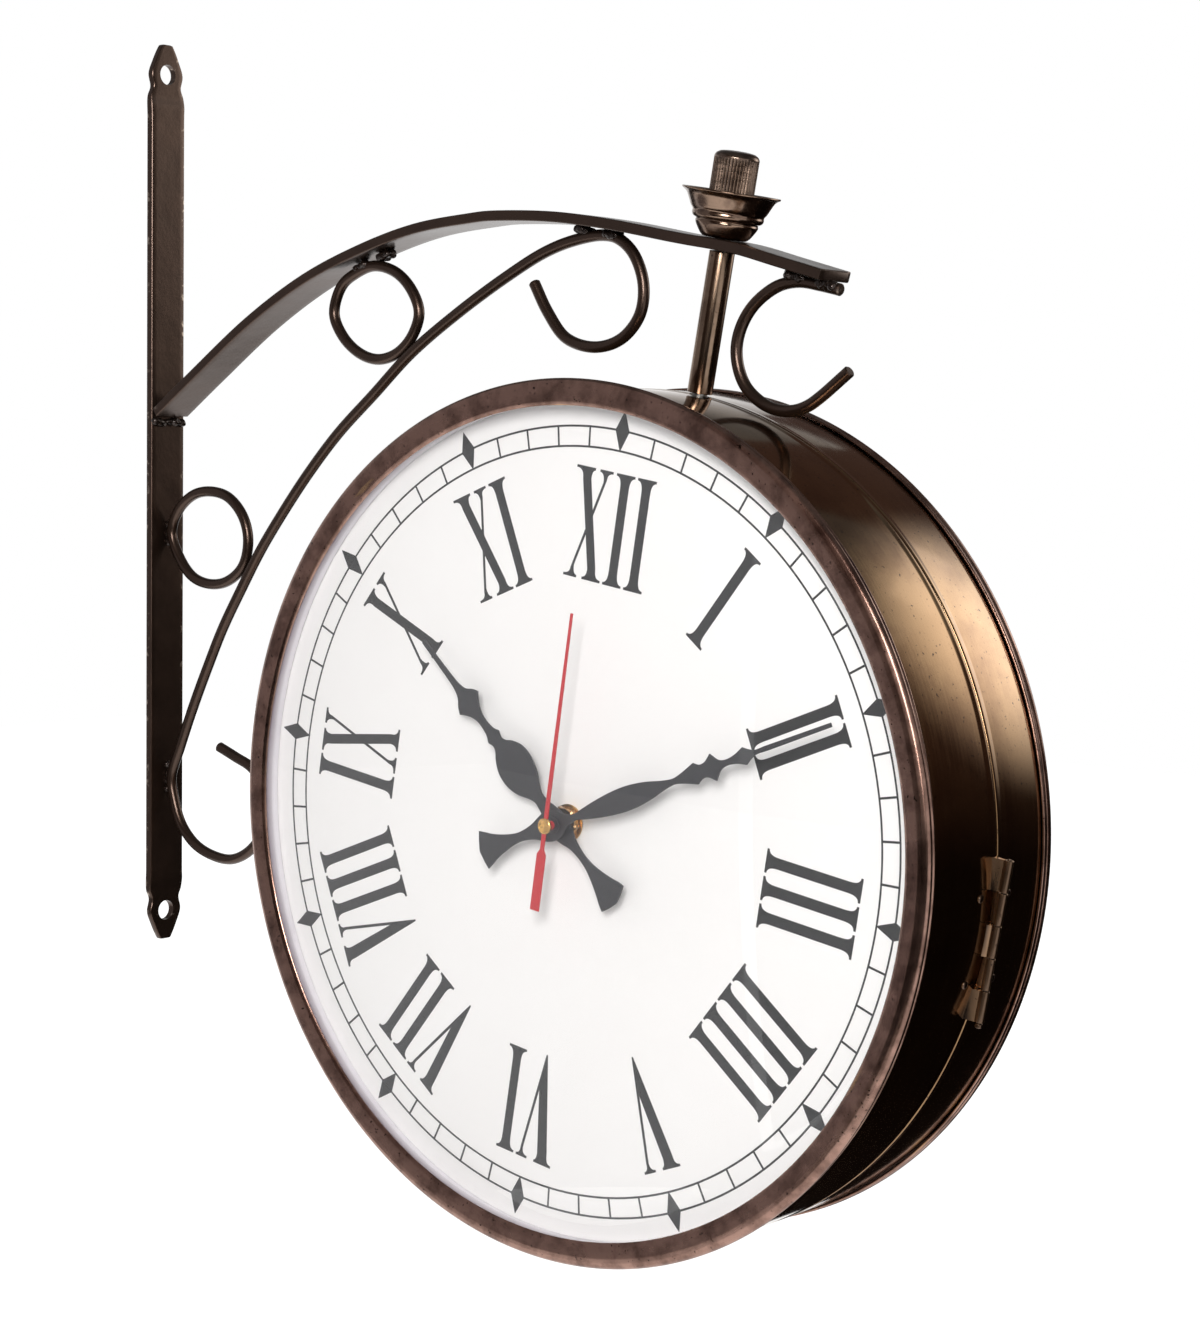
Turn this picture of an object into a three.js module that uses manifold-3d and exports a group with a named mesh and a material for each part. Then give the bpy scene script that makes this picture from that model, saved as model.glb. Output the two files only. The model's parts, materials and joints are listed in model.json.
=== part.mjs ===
// Double sided station clock on a wrought wall bracket, in millimetres, Z up.
// Origin: centre of the strap's wall face. The wall is the plane X = 0, the arm reaches out along +X
// and the front dial looks along -Y.
import * as THREE from 'three';
import { mergeVertices } from 'three/addons/utils/BufferGeometryUtils.js';
import Module from 'manifold-3d';

const wasm = await Module();
wasm.setup();

// ---------------------------------------------------------------- driving dimensions
const fitGap = 0.3;               // air between two pieces that rest on or turn in each other
const roundSteps = 44;            // facets around the case, bezels and dials
const smallSteps = 16;            // facets around small turned pieces

// wall bracket
const barWidth = 18;              // flat bar stock, measured along Y
const strapThickness = 3.5;
const screwHoleHeight = 178;      // above and below the middle of the strap
const screwHoleDiameter = 8.4;
const strapTip = 12.5;            // from each screw hole to the end of the strap
const strapTipWidth = 5.2;
const strapEndLength = 24;        // drawn thinner over this length at each end
const strapEndThickness = 3;
const archThickness = 4;
const archWeldHeight = 37.5;      // top of the arch bar at the strap
const archCrownReach = 195.5;     // from the strap's front face to the highest point
const archCrownRise = 14.2;       // above the stem's seat
const archTailLength = 49;        // past the stem
const archTailDrop = 12.5;        // below the stem's seat
const rodDiameter = 4.4;
const scrollWeldReach = 240;      // from the strap's front face to the scroll's weld under the arch
const scrollWeldHeight = -120;
const upperHookSize = 41;         // height of each bend, or its width where it stands on the strap
const lowerHookSize = 61.5;
const upperRingReach = 122.5;
const upperRingSize = 38;
const lowerRingHeight = -15;
const lowerRingSize = 48;
const endHookReach = 38;          // past the stem
const endHookSize = 44;
const rodSides = 8;

// seat of the stem on the arch bar: the arm falls away at its end, so the stem leans out
const seatReach = 296;            // from the strap's front face to the stem, along X
const seatHeight = 97.7;          // top of the arch bar there
const seatHalfLength = 10.5;      // flat length each side of the stem
const clockTilt = THREE.MathUtils.degToRad(10.2);

// stem, cup and knob
const stemTubeLength = 50.8;
const stemTubeRadius = 4.6;
const stemRodRadius = 3;
const hangerThickness = 3;
const hangerHalfWidth = 22;
const stemNutHeight = 5;
const stemNutRadius = 5.8;
const stemRodTail = 3;            // thread left below the nut
const cupHeight = 16.5;
const cupFloor = 5;
const cupFootRadius = 7.8;
const cupWaistRadius = 11.2;
const cupBowlRadius = 13;
const cupRimRadius = 17.7;
const cupBoreRadius = 9.6;
const knobRadius = 8.1;
const knobHeight = 25.6;
const knobRoof = 4.2;             // metal left above the knob's threaded bore
const knobRidges = 18;
const knobRidgeDepth = 0.5;

// case
const barrelRadius = 156;
const barrelWall = 1.2;
const seamBeadHeight = 0.6;
const frontDialToSeam = 35.65;
const rearDialToSeam = 24.7;
const seamGap = 0.2;

// hanger plate inside the drum, along the clock's axis from the seam
const hangerFront = -7;
const hangerBack = 20;

// one face, measured from the dial's printed surface, forward is -Y
const bezelLip = 7;               // inward from the drum's outside
const frontBezelBead = 2.9;       // outward from the drum's outside
const rearBezelBead = 1.3;        // the rear bezel lies almost flush
const bezelSkirt = -4.3;
const bezelShoulder = -8.8;
const bezelFront = -10.2;
const glassThickness = 2;
const glassRise = 10;
const rehautWall = 2;
const rehautSetBack = 1.4;        // outward from the bezel's inner edge
const dialThickness = 1;
const flangeWidth = 7.8;
const flangeThickness = 1.2;

// clock movement
const movementWidth = 56;
const movementDepth = 16;
const bushRadius = 3.9;
const bushFront = -4.8;
const washerRadius = 6.8;
const washerThickness = 0.6;
const nutRadius = 6.4;
const nutThickness = 2.6;
const cellRadius = 7.1;
const cellLength = 50;
const cellHeight = -18;           // cell axis below the hand arbor
const setWheelRadius = 7;
const setWheelAcross = 14;
const setWheelUp = 10;

// hands, as turned when the picture was taken
const minuteHandLength = 127.5;
const minuteHandTail = 37.4;
const minuteHandHalfWidth = 7.1;
const minuteHandAngle = THREE.MathUtils.degToRad(59.2);
const hourHandLength = 91;
const hourHandTail = 37.4;
const hourHandHalfWidth = 8.3;
const hourHandAngle = THREE.MathUtils.degToRad(-57.4);
const secondHandLength = 77;
const secondHandTail = 31;
const secondHandHalfWidth = 2;
const secondHandAngle = THREE.MathUtils.degToRad(-1.9);
const hourHandLift = 1.5;         // each blade's face, ahead of the threaded bush
const minuteHandLift = 4;
const secondHandLift = 8.5;
const handThickness = 0.6;

// hinge
const hingePinRadius = 0.7;
const knuckleRadius = 1.6;
const knuckleLength = 11;
const knuckleCount = 5;
const knuckleGap = 0.4;
const leafThickness = 0.6;
const leafDepth = 13;
const rivetAcross = 8.5;
const rivetUp = 15;
const rivetShankRadius = 0.8;
const rivetHeadRadius = 1.5;
const rivetHeadHeight = 0.75;

// sizes that follow from the ones above
const strapHalfHeight = screwHoleHeight + strapTip;
const stemHoleRadius = stemRodRadius + 2 * fitGap;
const barrelInner = barrelRadius - barrelWall;
const seamRadius = barrelRadius + seamBeadHeight;
const bezelInnerRadius = barrelRadius - bezelLip;
const archTopOnStem = seamRadius + fitGap + stemTubeLength + fitGap + archThickness;
const knobBase = archTopOnStem + fitGap + cupFloor + fitGap;
const knobTop = knobBase + knobHeight;
const stemRodTop = knobTop - knobRoof;
const hangerTop = barrelInner - fitGap;
const hangerBottom = hangerTop - hangerThickness;
const stemRodBottom = hangerBottom - fitGap - stemNutHeight - stemRodTail;
const clockCentre = new THREE.Vector3(
  strapThickness + seatReach - archTopOnStem * Math.sin(clockTilt),
  0,
  seatHeight - archTopOnStem * Math.cos(clockTilt));

// ---------------------------------------------------------------- solids
function solidOf(geometry) {
  const bare = geometry.index ? geometry.toNonIndexed() : geometry.clone();
  bare.deleteAttribute('normal');
  bare.deleteAttribute('uv');
  const merged = mergeVertices(bare, 1e-4);
  const positions = merged.attributes.position.array;
  const corners = merged.index.array;
  const triangles = [];
  const a = new THREE.Vector3();
  const b = new THREE.Vector3();
  const c = new THREE.Vector3();
  let volume = 0;
  for (let i = 0; i < corners.length; i += 3) {
    const [p, q, r] = [corners[i], corners[i + 1], corners[i + 2]];
    if (p === q || q === r || r === p) continue;
    triangles.push([p, q, r]);
    a.fromArray(positions, 3 * p);
    b.fromArray(positions, 3 * q);
    c.fromArray(positions, 3 * r);
    volume += a.dot(b.cross(c));
  }
  const facing = volume < 0 ? triangles.map(([p, q, r]) => [p, r, q]) : triangles;
  return new wasm.Manifold(new wasm.Mesh({
    numProp: 3,
    vertProperties: Float32Array.from(positions),
    triVerts: Uint32Array.from(facing.flat()),
  }));
}

function geometryOf(solid) {
  const mesh = solid.getMesh();
  const geometry = new THREE.BufferGeometry();
  geometry.setAttribute('position', new THREE.BufferAttribute(Float32Array.from(mesh.vertProperties), 3));
  geometry.setIndex(new THREE.BufferAttribute(Uint32Array.from(mesh.triVerts), 1));
  geometry.computeVertexNormals();
  return geometry;
}

function piece(name, solid, material) {
  const mesh = new THREE.Mesh(geometryOf(solid), material);
  mesh.name = name;
  return mesh;
}

// ---------------------------------------------------------------- materials
function metal(color, roughness, metalness = 1) {
  return new THREE.MeshStandardMaterial({ color, roughness, metalness });
}

const bracketMetal = () => metal(0x3b302b, 0.42, 0.9);
const caseMetal = () => metal(0x5d4b38, 0.3);
const bezelMetal = () => metal(0x7d6550, 0.4);
const stemMetal = () => metal(0x74695c, 0.25);
const cupMetal = () => metal(0x5a4b3c, 0.35);
const knobMetal = () => metal(0x54493f, 0.4);
const steel = () => metal(0x9a9a98, 0.35);
const brass = () => metal(0xb08a4a, 0.3);
const handPaint = () => metal(0x23242a, 0.5, 0.1);
const secondHandPaint = () => metal(0xb5201c, 0.45, 0.1);
const dialPaint = () => metal(0xeeeae6, 0.6, 0);
const rehautPaint = () => metal(0xe6e4ea, 0.5, 0);
const moulding = () => metal(0x1d1e20, 0.55, 0);
const cellJacket = () => metal(0x3d6b54, 0.35, 0.1);

function clearGlass() {
  const glass = metal(0xf4f8fa, 0.03, 0);
  glass.transparent = true;
  glass.opacity = 0.2;
  return glass;
}

// ---------------------------------------------------------------- shape helpers
// Flat plate drawn in X and Z, front face at y = front, thickness going back along +Y.
function platePoints(points, front, thickness) {
  const outline = new THREE.Shape(points);
  const geometry = new THREE.ExtrudeGeometry(outline, { depth: thickness, bevelEnabled: false });
  geometry.rotateX(Math.PI / 2);
  geometry.translate(0, front + thickness, 0);
  return solidOf(geometry);
}

// Body turned about the Y axis from a closed outline of [radius, y].
function turned(outline, steps = roundSteps) {
  const points = [...outline, outline[0]].map(([radius, y]) => new THREE.Vector2(radius, y));
  return solidOf(new THREE.LatheGeometry(points, steps));
}

// Solid turned about the Y axis from an open outline that starts and ends on the axis.
function turnedSolid(outline, steps = smallSteps) {
  const points = outline.map(([radius, y]) => new THREE.Vector2(radius, y));
  return solidOf(new THREE.LatheGeometry(points, steps));
}

// Straight cylinder between two stations along one axis.
function rodAlong(axis, radius, low, high, steps = smallSteps) {
  const geometry = new THREE.CylinderGeometry(radius, radius, high - low, steps);
  geometry.translate(0, (low + high) / 2, 0);
  if (axis === 'x') geometry.rotateZ(-Math.PI / 2);
  if (axis === 'z') geometry.rotateX(Math.PI / 2);
  return solidOf(geometry);
}

function block(low, high) {
  const size = high.map((value, i) => value - low[i]);
  const geometry = new THREE.BoxGeometry(...size);
  geometry.translate(...low.map((value, i) => value + size[i] / 2));
  return solidOf(geometry);
}

// Round bar bent along hand-set points, given as the distance out from the strap and the height.
function bentRod(points, steps, closed = false, diameter = rodDiameter) {
  const stations = points.map(([out, z]) => new THREE.Vector3(strapThickness + out, 0, z));
  const path = new THREE.CatmullRomCurve3(stations, closed);
  const section = new THREE.Shape();
  for (let i = 0; i < rodSides; i += 1) {
    const angle = (2 * Math.PI * (i + 0.5)) / rodSides;
    const corner = [Math.cos(angle) * diameter / 2, Math.sin(angle) * diameter / 2];
    if (i === 0) section.moveTo(...corner);
    else section.lineTo(...corner);
  }
  return solidOf(new THREE.ExtrudeGeometry(section, { steps, extrudePath: path, bevelEnabled: false }));
}

// ---------------------------------------------------------------- wall bracket
// Flat bar strap with both ends drawn down, thinner and to a blunt point, and swelled around a screw hole.
function wallStrap() {
  const half = barWidth / 2;
  const hole = screwHoleHeight;
  const endProfile = [
    [hole - 9.5, half], [hole - 5.5, half - 1.5], [hole, half - 0.5], [hole + 6, half - 2.8],
    [strapHalfHeight - 2, strapTipWidth / 2 + 1], [strapHalfHeight, strapTipWidth / 2],
  ];
  const upper = endProfile.map(([z, y]) => [y, z]);
  const right = [...upper.map(([y, z]) => [y, -z]).reverse(), ...upper];
  const left = right.map(([y, z]) => [-y, z]).reverse();
  const outline = new THREE.Shape([...right, ...left].map(([y, z]) => new THREE.Vector2(y, z)));
  const geometry = new THREE.ExtrudeGeometry(outline, { depth: strapThickness, bevelEnabled: false });
  geometry.applyMatrix4(new THREE.Matrix4().makeBasis(
    new THREE.Vector3(0, 1, 0), new THREE.Vector3(0, 0, 1), new THREE.Vector3(1, 0, 0)));
  let strap = solidOf(geometry);
  for (const side of [-1, 1]) {
    const bore = rodAlong('x', screwHoleDiameter / 2, -1, strapThickness + 1);
    const thinner = block(
      [strapEndThickness, -barWidth, strapHalfHeight - strapEndLength],
      [strapThickness + 1, barWidth, strapHalfHeight + 1]);
    strap = strap.subtract(bore.translate([0, 0, side * screwHoleHeight]));
    strap = strap.subtract(side > 0 ? thinner : thinner.rotate([180, 0, 0]));
  }
  return piece('wall_strap', strap, bracketMetal());
}

// Points between two stations, each given as its share of the way out and of the way up.
function between([startOut, startZ], [endOut, endZ], shares) {
  return shares.map(([out, up]) => [startOut + (endOut - startOut) * out, startZ + (endZ - startZ) * up]);
}

// Upper edge of the arch bar as distance out from the strap and height: up from the weld, over the
// crown, down to the stem's flat seat and on to the free end.
function archEdge() {
  const run = seatHalfLength * Math.cos(clockTilt);
  const drop = seatHalfLength * Math.sin(clockTilt);
  const weld = [fitGap / 2, archWeldHeight];
  const crown = [archCrownReach, seatHeight + archCrownRise];
  const seatStart = [seatReach - run, seatHeight + drop];
  const seatEnd = [seatReach + run, seatHeight - drop];
  const tip = [seatReach + archTailLength, seatHeight - archTailDrop];
  const rise = [
    [0.115, 0.202], [0.289, 0.495], [0.458, 0.718], [0.621, 0.864], [0.775, 0.958], [0.923, 0.995],
  ];
  const fall = [[0.299, 0.13], [0.599, 0.439], [0.887, 0.846]];
  return [
    weld, ...between(weld, crown, rise), crown, ...between(crown, seatStart, fall), seatStart, seatEnd,
    ...between(seatEnd, tip, [[0.496, 0.493]]), tip,
  ];
}

function archCurve() {
  return new THREE.SplineCurve(archEdge().map(([out, z]) => new THREE.Vector2(out, z)));
}

// Height of a bent rod's centre line where it is welded under the arch bar, at one distance out.
function underArch(out) {
  const edge = archCurve().getPoints(400);
  const index = edge.findIndex((point) => point.x >= out);
  const [near, far] = [edge[index - 1], edge[index]];
  const slope = Math.atan2(far.y - near.y, far.x - near.x);
  return far.y - (archThickness + rodDiameter / 2 + fitGap) / Math.cos(slope);
}

// Flat bar bent to the edge above, with extra metal on its underside when it serves as a cutter.
function archSolid(extra) {
  const thickness = archThickness + extra;
  const upper = archCurve();
  const steps = 40;
  const top = [];
  const bottom = [];
  for (let i = 0; i <= steps; i += 1) {
    const point = upper.getPoint(i / steps).add(new THREE.Vector2(strapThickness, 0));
    const slope = upper.getTangent(i / steps);
    const normal = new THREE.Vector2(slope.y, -slope.x);
    const isWeldedEnd = i === 0;
    const under = isWeldedEnd
      ? new THREE.Vector2(point.x, point.y - thickness / slope.x)
      : point.clone().addScaledVector(normal, thickness);
    top.push(point);
    bottom.push(under);
  }
  return platePoints([...bottom, ...top.reverse()], -barWidth / 2, barWidth);
}

// Hand-set points of one bend, as shares of its size, counted from where the rod is welded.
function bend([out, z], size, shares) {
  return shares.map(([along, up]) => [out + along * size, z + up * size]);
}

// Long round bar: hook under the arch, sweep down to the strap, hook behind the case.
function scrollPath() {
  const archWeld = [scrollWeldReach, underArch(scrollWeldReach)];
  const strapWeld = [rodDiameter / 2 + fitGap, scrollWeldHeight];
  const upperHook = bend(archWeld, upperHookSize, [
    [-0.817, -0.395], [-0.641, -0.676], [-0.42, -0.91], [-0.073, -0.998], [0.239, -0.924], [0.441, -0.717],
    [0.476, -0.454], [0.363, -0.185], [0.183, -0.039], [0, 0], [-0.329, -0.032], [-0.685, -0.127],
  ]);
  const sweep = between(strapWeld, archWeld, [
    [0.803, 0.939], [0.693, 0.877], [0.591, 0.81], [0.506, 0.738], [0.423, 0.668], [0.352, 0.595],
    [0.29, 0.522], [0.233, 0.448], [0.184, 0.373], [0.137, 0.297], [0.099, 0.223], [0.062, 0.146],
    [0.027, 0.065],
  ]);
  const lowerHook = bend(strapWeld, lowerHookSize, [
    [0.007, 0], [0.034, -0.146], [0.107, -0.312], [0.244, -0.439], [0.428, -0.504], [0.634, -0.511],
    [0.821, -0.423], [0.959, -0.26], [1, -0.081], [0.846, 0.122], [0.657, 0.198], [0.496, 0.254],
  ]);
  return [...upperHook, ...sweep, ...lowerHook];
}

function upperRingPath() {
  return bend([upperRingReach, underArch(upperRingReach)], upperRingSize, [
    [-0.589, -0.513], [-0.484, -0.234], [-0.276, -0.105], [0, -0.034], [0.316, -0.113], [0.542, -0.303],
    [0.647, -0.534], [0.553, -0.768], [0.347, -0.939], [0.068, -1.003], [-0.211, -0.934], [-0.461, -0.75],
  ]);
}

function lowerRingPath() {
  return bend([rodDiameter / 2 + fitGap, lowerRingHeight], lowerRingSize, [
    [0.004, 0], [0.092, 0.2], [0.296, 0.342], [0.527, 0.375], [0.75, 0.325], [0.929, 0.167],
    [0.996, -0.031], [0.938, -0.254], [0.75, -0.396], [0.521, -0.437], [0.292, -0.385], [0.125, -0.238],
  ]);
}

function endHookPath() {
  const reach = seatReach + endHookReach;
  return bend([reach, underArch(reach)], endHookSize, [
    [0.295, -0.068], [0.091, -0.023], [-0.105, 0.009], [-0.298, -0.014], [-0.443, -0.082], [-0.57, -0.182],
    [-0.657, -0.3], [-0.707, -0.427], [-0.718, -0.548], [-0.689, -0.684], [-0.625, -0.805], [-0.525, -0.9],
    [-0.393, -0.973], [-0.255, -1.007], [-0.127, -1.005], [-0.002, -0.968], [0.111, -0.902], [0.393, -0.695],
  ]);
}

// Each bent rod is welded to its neighbours, so it is trimmed back to just touch them.
function bracketPieces(stemCutter) {
  const flats = archSolid(fitGap).add(block([-1, -barWidth, -strapHalfHeight], [
    strapThickness + fitGap, barWidth, strapHalfHeight]));
  const scroll = bentRod(scrollPath(), 84).subtract(flats);
  const besideScroll = bentRod(scrollPath(), 84, false, rodDiameter + 2 * fitGap).add(flats);
  return [
    wallStrap(),
    piece('arch_bar', archSolid(0).subtract(stemCutter), bracketMetal()),
    piece('scroll_rod', scroll, bracketMetal()),
    piece('upper_ring', bentRod(upperRingPath(), 28, true).subtract(besideScroll), bracketMetal()),
    piece('lower_ring', bentRod(lowerRingPath(), 28, true).subtract(besideScroll), bracketMetal()),
    piece('end_hook', bentRod(endHookPath(), 32).subtract(flats), bracketMetal()),
  ];
}

// ---------------------------------------------------------------- stem, cup and knob
// Everything below is turned about the stem, so it is drawn about Y and stood up afterwards.
function standUp(solid) {
  return solid.rotate([90, 0, 0]);
}

function clampCup() {
  const seat = archTopOnStem + fitGap;
  const rim = seat + cupHeight;
  const outline = [
    [stemHoleRadius, seat], [cupFootRadius, seat], [cupFootRadius + 1, seat + 0.8],
    [cupFootRadius + 2, seat + 2.2], [cupWaistRadius, seat + 4.2], [cupWaistRadius - 0.2, seat + 5.8],
    [cupBowlRadius - 0.6, seat + 6.6], [cupBowlRadius, seat + 7.8], [cupBowlRadius - 0.3, seat + 9],
    [cupBowlRadius + 0.6, rim - 6.5], [cupBowlRadius + 1.8, rim - 3.9], [cupRimRadius - 1.9, rim - 1.9],
    [cupRimRadius - 0.8, rim - 1.1], [cupRimRadius, rim - 0.6], [cupRimRadius, rim],
    [cupRimRadius - 2.4, rim],
    [cupBoreRadius, seat + cupFloor + 2], [cupBoreRadius, seat + cupFloor], [stemHoleRadius, seat + cupFloor],
  ];
  return piece('clamp_cup', standUp(turned(outline, 24)), cupMetal());
}

function clampKnob() {
  const outline = [
    [0, knobBase], [knobRadius - 0.8, knobBase], [knobRadius, knobBase + 0.8], [knobRadius, knobTop - 3.2],
    [knobRadius - 1, knobTop - 1.4], [knobRadius - 3.2, knobTop - 0.3], [0, knobTop],
  ];
  let knob = turnedSolid(outline, knobRidges * 2);
  const groove = rodAlong('y', knobRidgeDepth, knobBase + 2, knobTop - 3.4, 4)
    .translate([knobRadius + knobRidgeDepth / 4, 0, 0]);
  for (let i = 0; i < knobRidges; i += 1) {
    knob = knob.subtract(groove.rotate([0, (360 * (i + 0.5)) / knobRidges, 0]));
  }
  knob = knob.subtract(rodAlong('y', stemRodRadius + fitGap, knobBase - 1, stemRodTop + fitGap));
  return piece('clamp_knob', standUp(knob), knobMetal());
}

function stemPieces() {
  const foot = seamRadius + fitGap;
  const bore = rodAlong('z', stemRodRadius + fitGap, 0, knobTop);
  const tube = rodAlong('z', stemTubeRadius, foot, foot + stemTubeLength, 24).subtract(bore);
  const rod = rodAlong('z', stemRodRadius, stemRodBottom, stemRodTop);
  const roof = [[0, hangerFront], [hangerTop, hangerFront], [hangerTop, hangerBack], [0, hangerBack]];
  const plate = block(
    [-hangerHalfWidth, hangerFront, hangerBottom], [hangerHalfWidth, hangerBack, barrelRadius]);
  const hanger = turnedSolid(roof, roundSteps).intersect(plate).subtract(bore);
  const nutTop = hangerBottom - fitGap;
  const nut = rodAlong('z', stemNutRadius, nutTop - stemNutHeight, nutTop, 6).subtract(bore);
  return [
    piece('stem_tube', tube, stemMetal()),
    piece('stem_rod', rod, steel()),
    piece('hanger_plate', hanger, steel()),
    piece('stem_nut', nut, steel()),
  ];
}

// ---------------------------------------------------------------- half case and its face
// Half drum of sheet brass: rolled bead at the seam, inner flange behind the dial.
function drum(seam) {
  const inner = barrelInner;
  const edge = seam - seamGap;
  const flangeFront = dialThickness + fitGap;
  const shell = turned([
    [barrelRadius, bezelShoulder + fitGap], [barrelRadius, edge - 3],
    [seamRadius, edge - 2], [seamRadius, edge - 0.6],
    [barrelRadius, edge], [inner, edge],
    [inner, flangeFront + flangeThickness], [inner - flangeWidth, flangeFront + flangeThickness],
    [inner - flangeWidth, flangeFront], [inner, flangeFront],
    [inner, bezelShoulder + fitGap],
  ]);
  const stemNotch = rodAlong('z', stemHoleRadius, barrelRadius - 10, barrelRadius + 10);
  return shell.subtract(stemNotch.translate([0, seam, 0]));
}

// Rounded bezel ring with a groove and a thin second bead, gripping the outside of the drum. Its relief
// is given as shares of how far the bead stands out.
function bezel(bead) {
  const skirt = barrelRadius + fitGap;
  const relief = bead - fitGap;
  const lip = skirt + 0.42 * relief;
  const thinBead = skirt + 0.73 * relief;
  const groove = skirt + 0.5 * relief;
  const outer = skirt + relief;
  return turned([
    [skirt, bezelSkirt], [lip, bezelSkirt], [thinBead, bezelSkirt - 0.9], [groove, bezelSkirt - 1.9],
    [outer, bezelSkirt - 2.7], [outer, bezelShoulder + 0.2], [outer - 1.2, bezelShoulder - 0.9],
    [outer - 3.6, bezelFront], [bezelInnerRadius + 1.8, bezelFront],
    [bezelInnerRadius, bezelFront + 0.9], [bezelInnerRadius, bezelShoulder], [skirt, bezelShoulder],
  ]);
}

// Domed glass with a flat rim under the bezel lip: inside and outside rise alike, so the pane keeps
// its thickness.
function glass() {
  const edgeRadius = barrelInner - fitGap;
  const domeRadius = bezelInnerRadius - fitGap;
  const front = bezelShoulder + fitGap;
  const rings = 4;
  const outer = [];
  const inner = [];
  for (let i = 0; i <= rings; i += 1) {
    const radius = domeRadius * (i / rings);
    const rise = glassRise * (1 - (i / rings) ** 2);
    outer.push([radius, front - rise]);
    inner.push([radius, front + glassThickness - rise]);
  }
  outer.push([edgeRadius, front]);
  inner.push([edgeRadius, front + glassThickness]);
  return turnedSolid([...outer, ...inner.reverse()], roundSteps);
}

function rehaut() {
  const glassBack = bezelShoulder + fitGap + glassThickness;
  const low = glassBack + fitGap;
  const inner = bezelInnerRadius + rehautSetBack;
  return turned([[inner, low], [inner + rehautWall, low], [inner + rehautWall, -fitGap], [inner, -fitGap]]);
}

function dial() {
  const edge = barrelInner - fitGap;
  const bore = bushRadius + fitGap;
  return turned([[bore, 0], [edge, 0], [edge, dialThickness], [bore, dialThickness]]);
}

function movement() {
  const front = dialThickness + fitGap;
  const back = front + movementDepth;
  const half = movementWidth / 2;
  const cellAxis = back - cellRadius - 1;
  const bay = rodAlong('x', cellRadius + fitGap, -cellLength / 2 - 0.7, cellLength / 2 + 0.7, 20)
    .translate([0, cellAxis, cellHeight]);
  const bayMouth = block(
    [-cellLength / 2 - 0.7, cellAxis, cellHeight - cellRadius - fitGap],
    [cellLength / 2 + 0.7, back + 1, cellHeight + cellRadius + fitGap]);
  const wheelBore = rodAlong('y', 1.9, back - 5, back + 1).translate([setWheelAcross, 0, setWheelUp]);
  return block([-half, front, -half], [half, back, half])
    .add(rodAlong('y', bushRadius, bushFront, front + 1))
    .subtract(bay)
    .subtract(bayMouth)
    .subtract(wheelBore);
}

function cell() {
  const back = dialThickness + fitGap + movementDepth;
  const half = cellLength / 2;
  const body = turnedSolid([
    [0, -half], [cellRadius, -half], [cellRadius, half - 1.4], [2.7, half - 1.4], [2.7, half], [0, half],
  ], 20);
  return body.rotate([0, 0, -90]).translate([0, back - cellRadius - 1, cellHeight]);
}

function setWheel() {
  const back = dialThickness + fitGap + movementDepth;
  const wheel = rodAlong('y', setWheelRadius, back + fitGap, back + 2.8, 24);
  const stub = rodAlong('y', 1.6, back - 4.6, back + 1);
  return wheel.add(stub).translate([setWheelAcross, 0, setWheelUp]);
}

function bushWasher() {
  const bore = rodAlong('y', bushRadius + fitGap, bushFront, movementDepth);
  return rodAlong('y', washerRadius, -fitGap - washerThickness, -fitGap, 24).subtract(bore);
}

function bushNut() {
  const low = -2 * fitGap - washerThickness;
  const bore = rodAlong('y', bushRadius + fitGap, bushFront - 1, movementDepth);
  return rodAlong('y', nutRadius, low - nutThickness, low, 6).subtract(bore);
}

// Hand blade, each side of the arbor given as shares of its length and of the widest half width,
// listed from the tail to the tip and mirrored to make the blade symmetrical.
function handBlade(length, tail, halfWidth, behind, ahead, front) {
  const side = [
    ...behind.map(([along, half]) => [-along * tail, half * halfWidth]),
    ...ahead.map(([along, half]) => [along * length, half * halfWidth]),
  ];
  const right = side.map(([along, half]) => new THREE.Vector2(half, along));
  const left = side.slice(1, -1).map(([along, half]) => new THREE.Vector2(-half, along)).reverse();
  return platePoints([...right, ...left], front, handThickness);
}

const hourPipe = { radius: 1.9, collet: 4 };
const minutePipe = { radius: hourPipe.radius - fitGap, bore: 1, collet: 3.2 };
const secondArbor = { radius: minutePipe.bore - 0.4, cap: 2.9 };

function hourHand() {
  const behind = [
    [1, 0], [0.941, 0.843], [0.802, 0.602], [0.668, 0.37], [0.535, 0.193], [0.401, 0.175], [0.267, 0.26],
    [0.147, 0.48],
  ];
  const ahead = [
    [0, 0.6], [0.055, 0.46], [0.099, 0.32], [0.137, 0.29], [0.165, 0.41], [0.22, 0.78], [0.264, 0.95],
    [0.308, 1], [0.352, 0.916], [0.396, 0.64], [0.418, 0.41], [0.44, 0.31], [0.469, 0.42], [0.495, 0.265],
    [0.538, 0.193], [0.571, 0.22], [0.604, 0.35], [0.637, 0.6], [0.654, 0.77], [0.681, 0.59],
    [0.709, 0.31], [0.747, 0.18], [0.8, 0.13], [1, 0.1], [1, 0],
  ];
  const front = bushFront - hourHandLift;
  const blade = handBlade(hourHandLength, hourHandTail, hourHandHalfWidth, behind, ahead, front);
  const collet = rodAlong('y', hourPipe.collet, front - handThickness, bushFront - fitGap, smallSteps);
  return blade.add(collet).subtract(rodAlong('y', hourPipe.radius, front - 1, bushFront));
}

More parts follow.
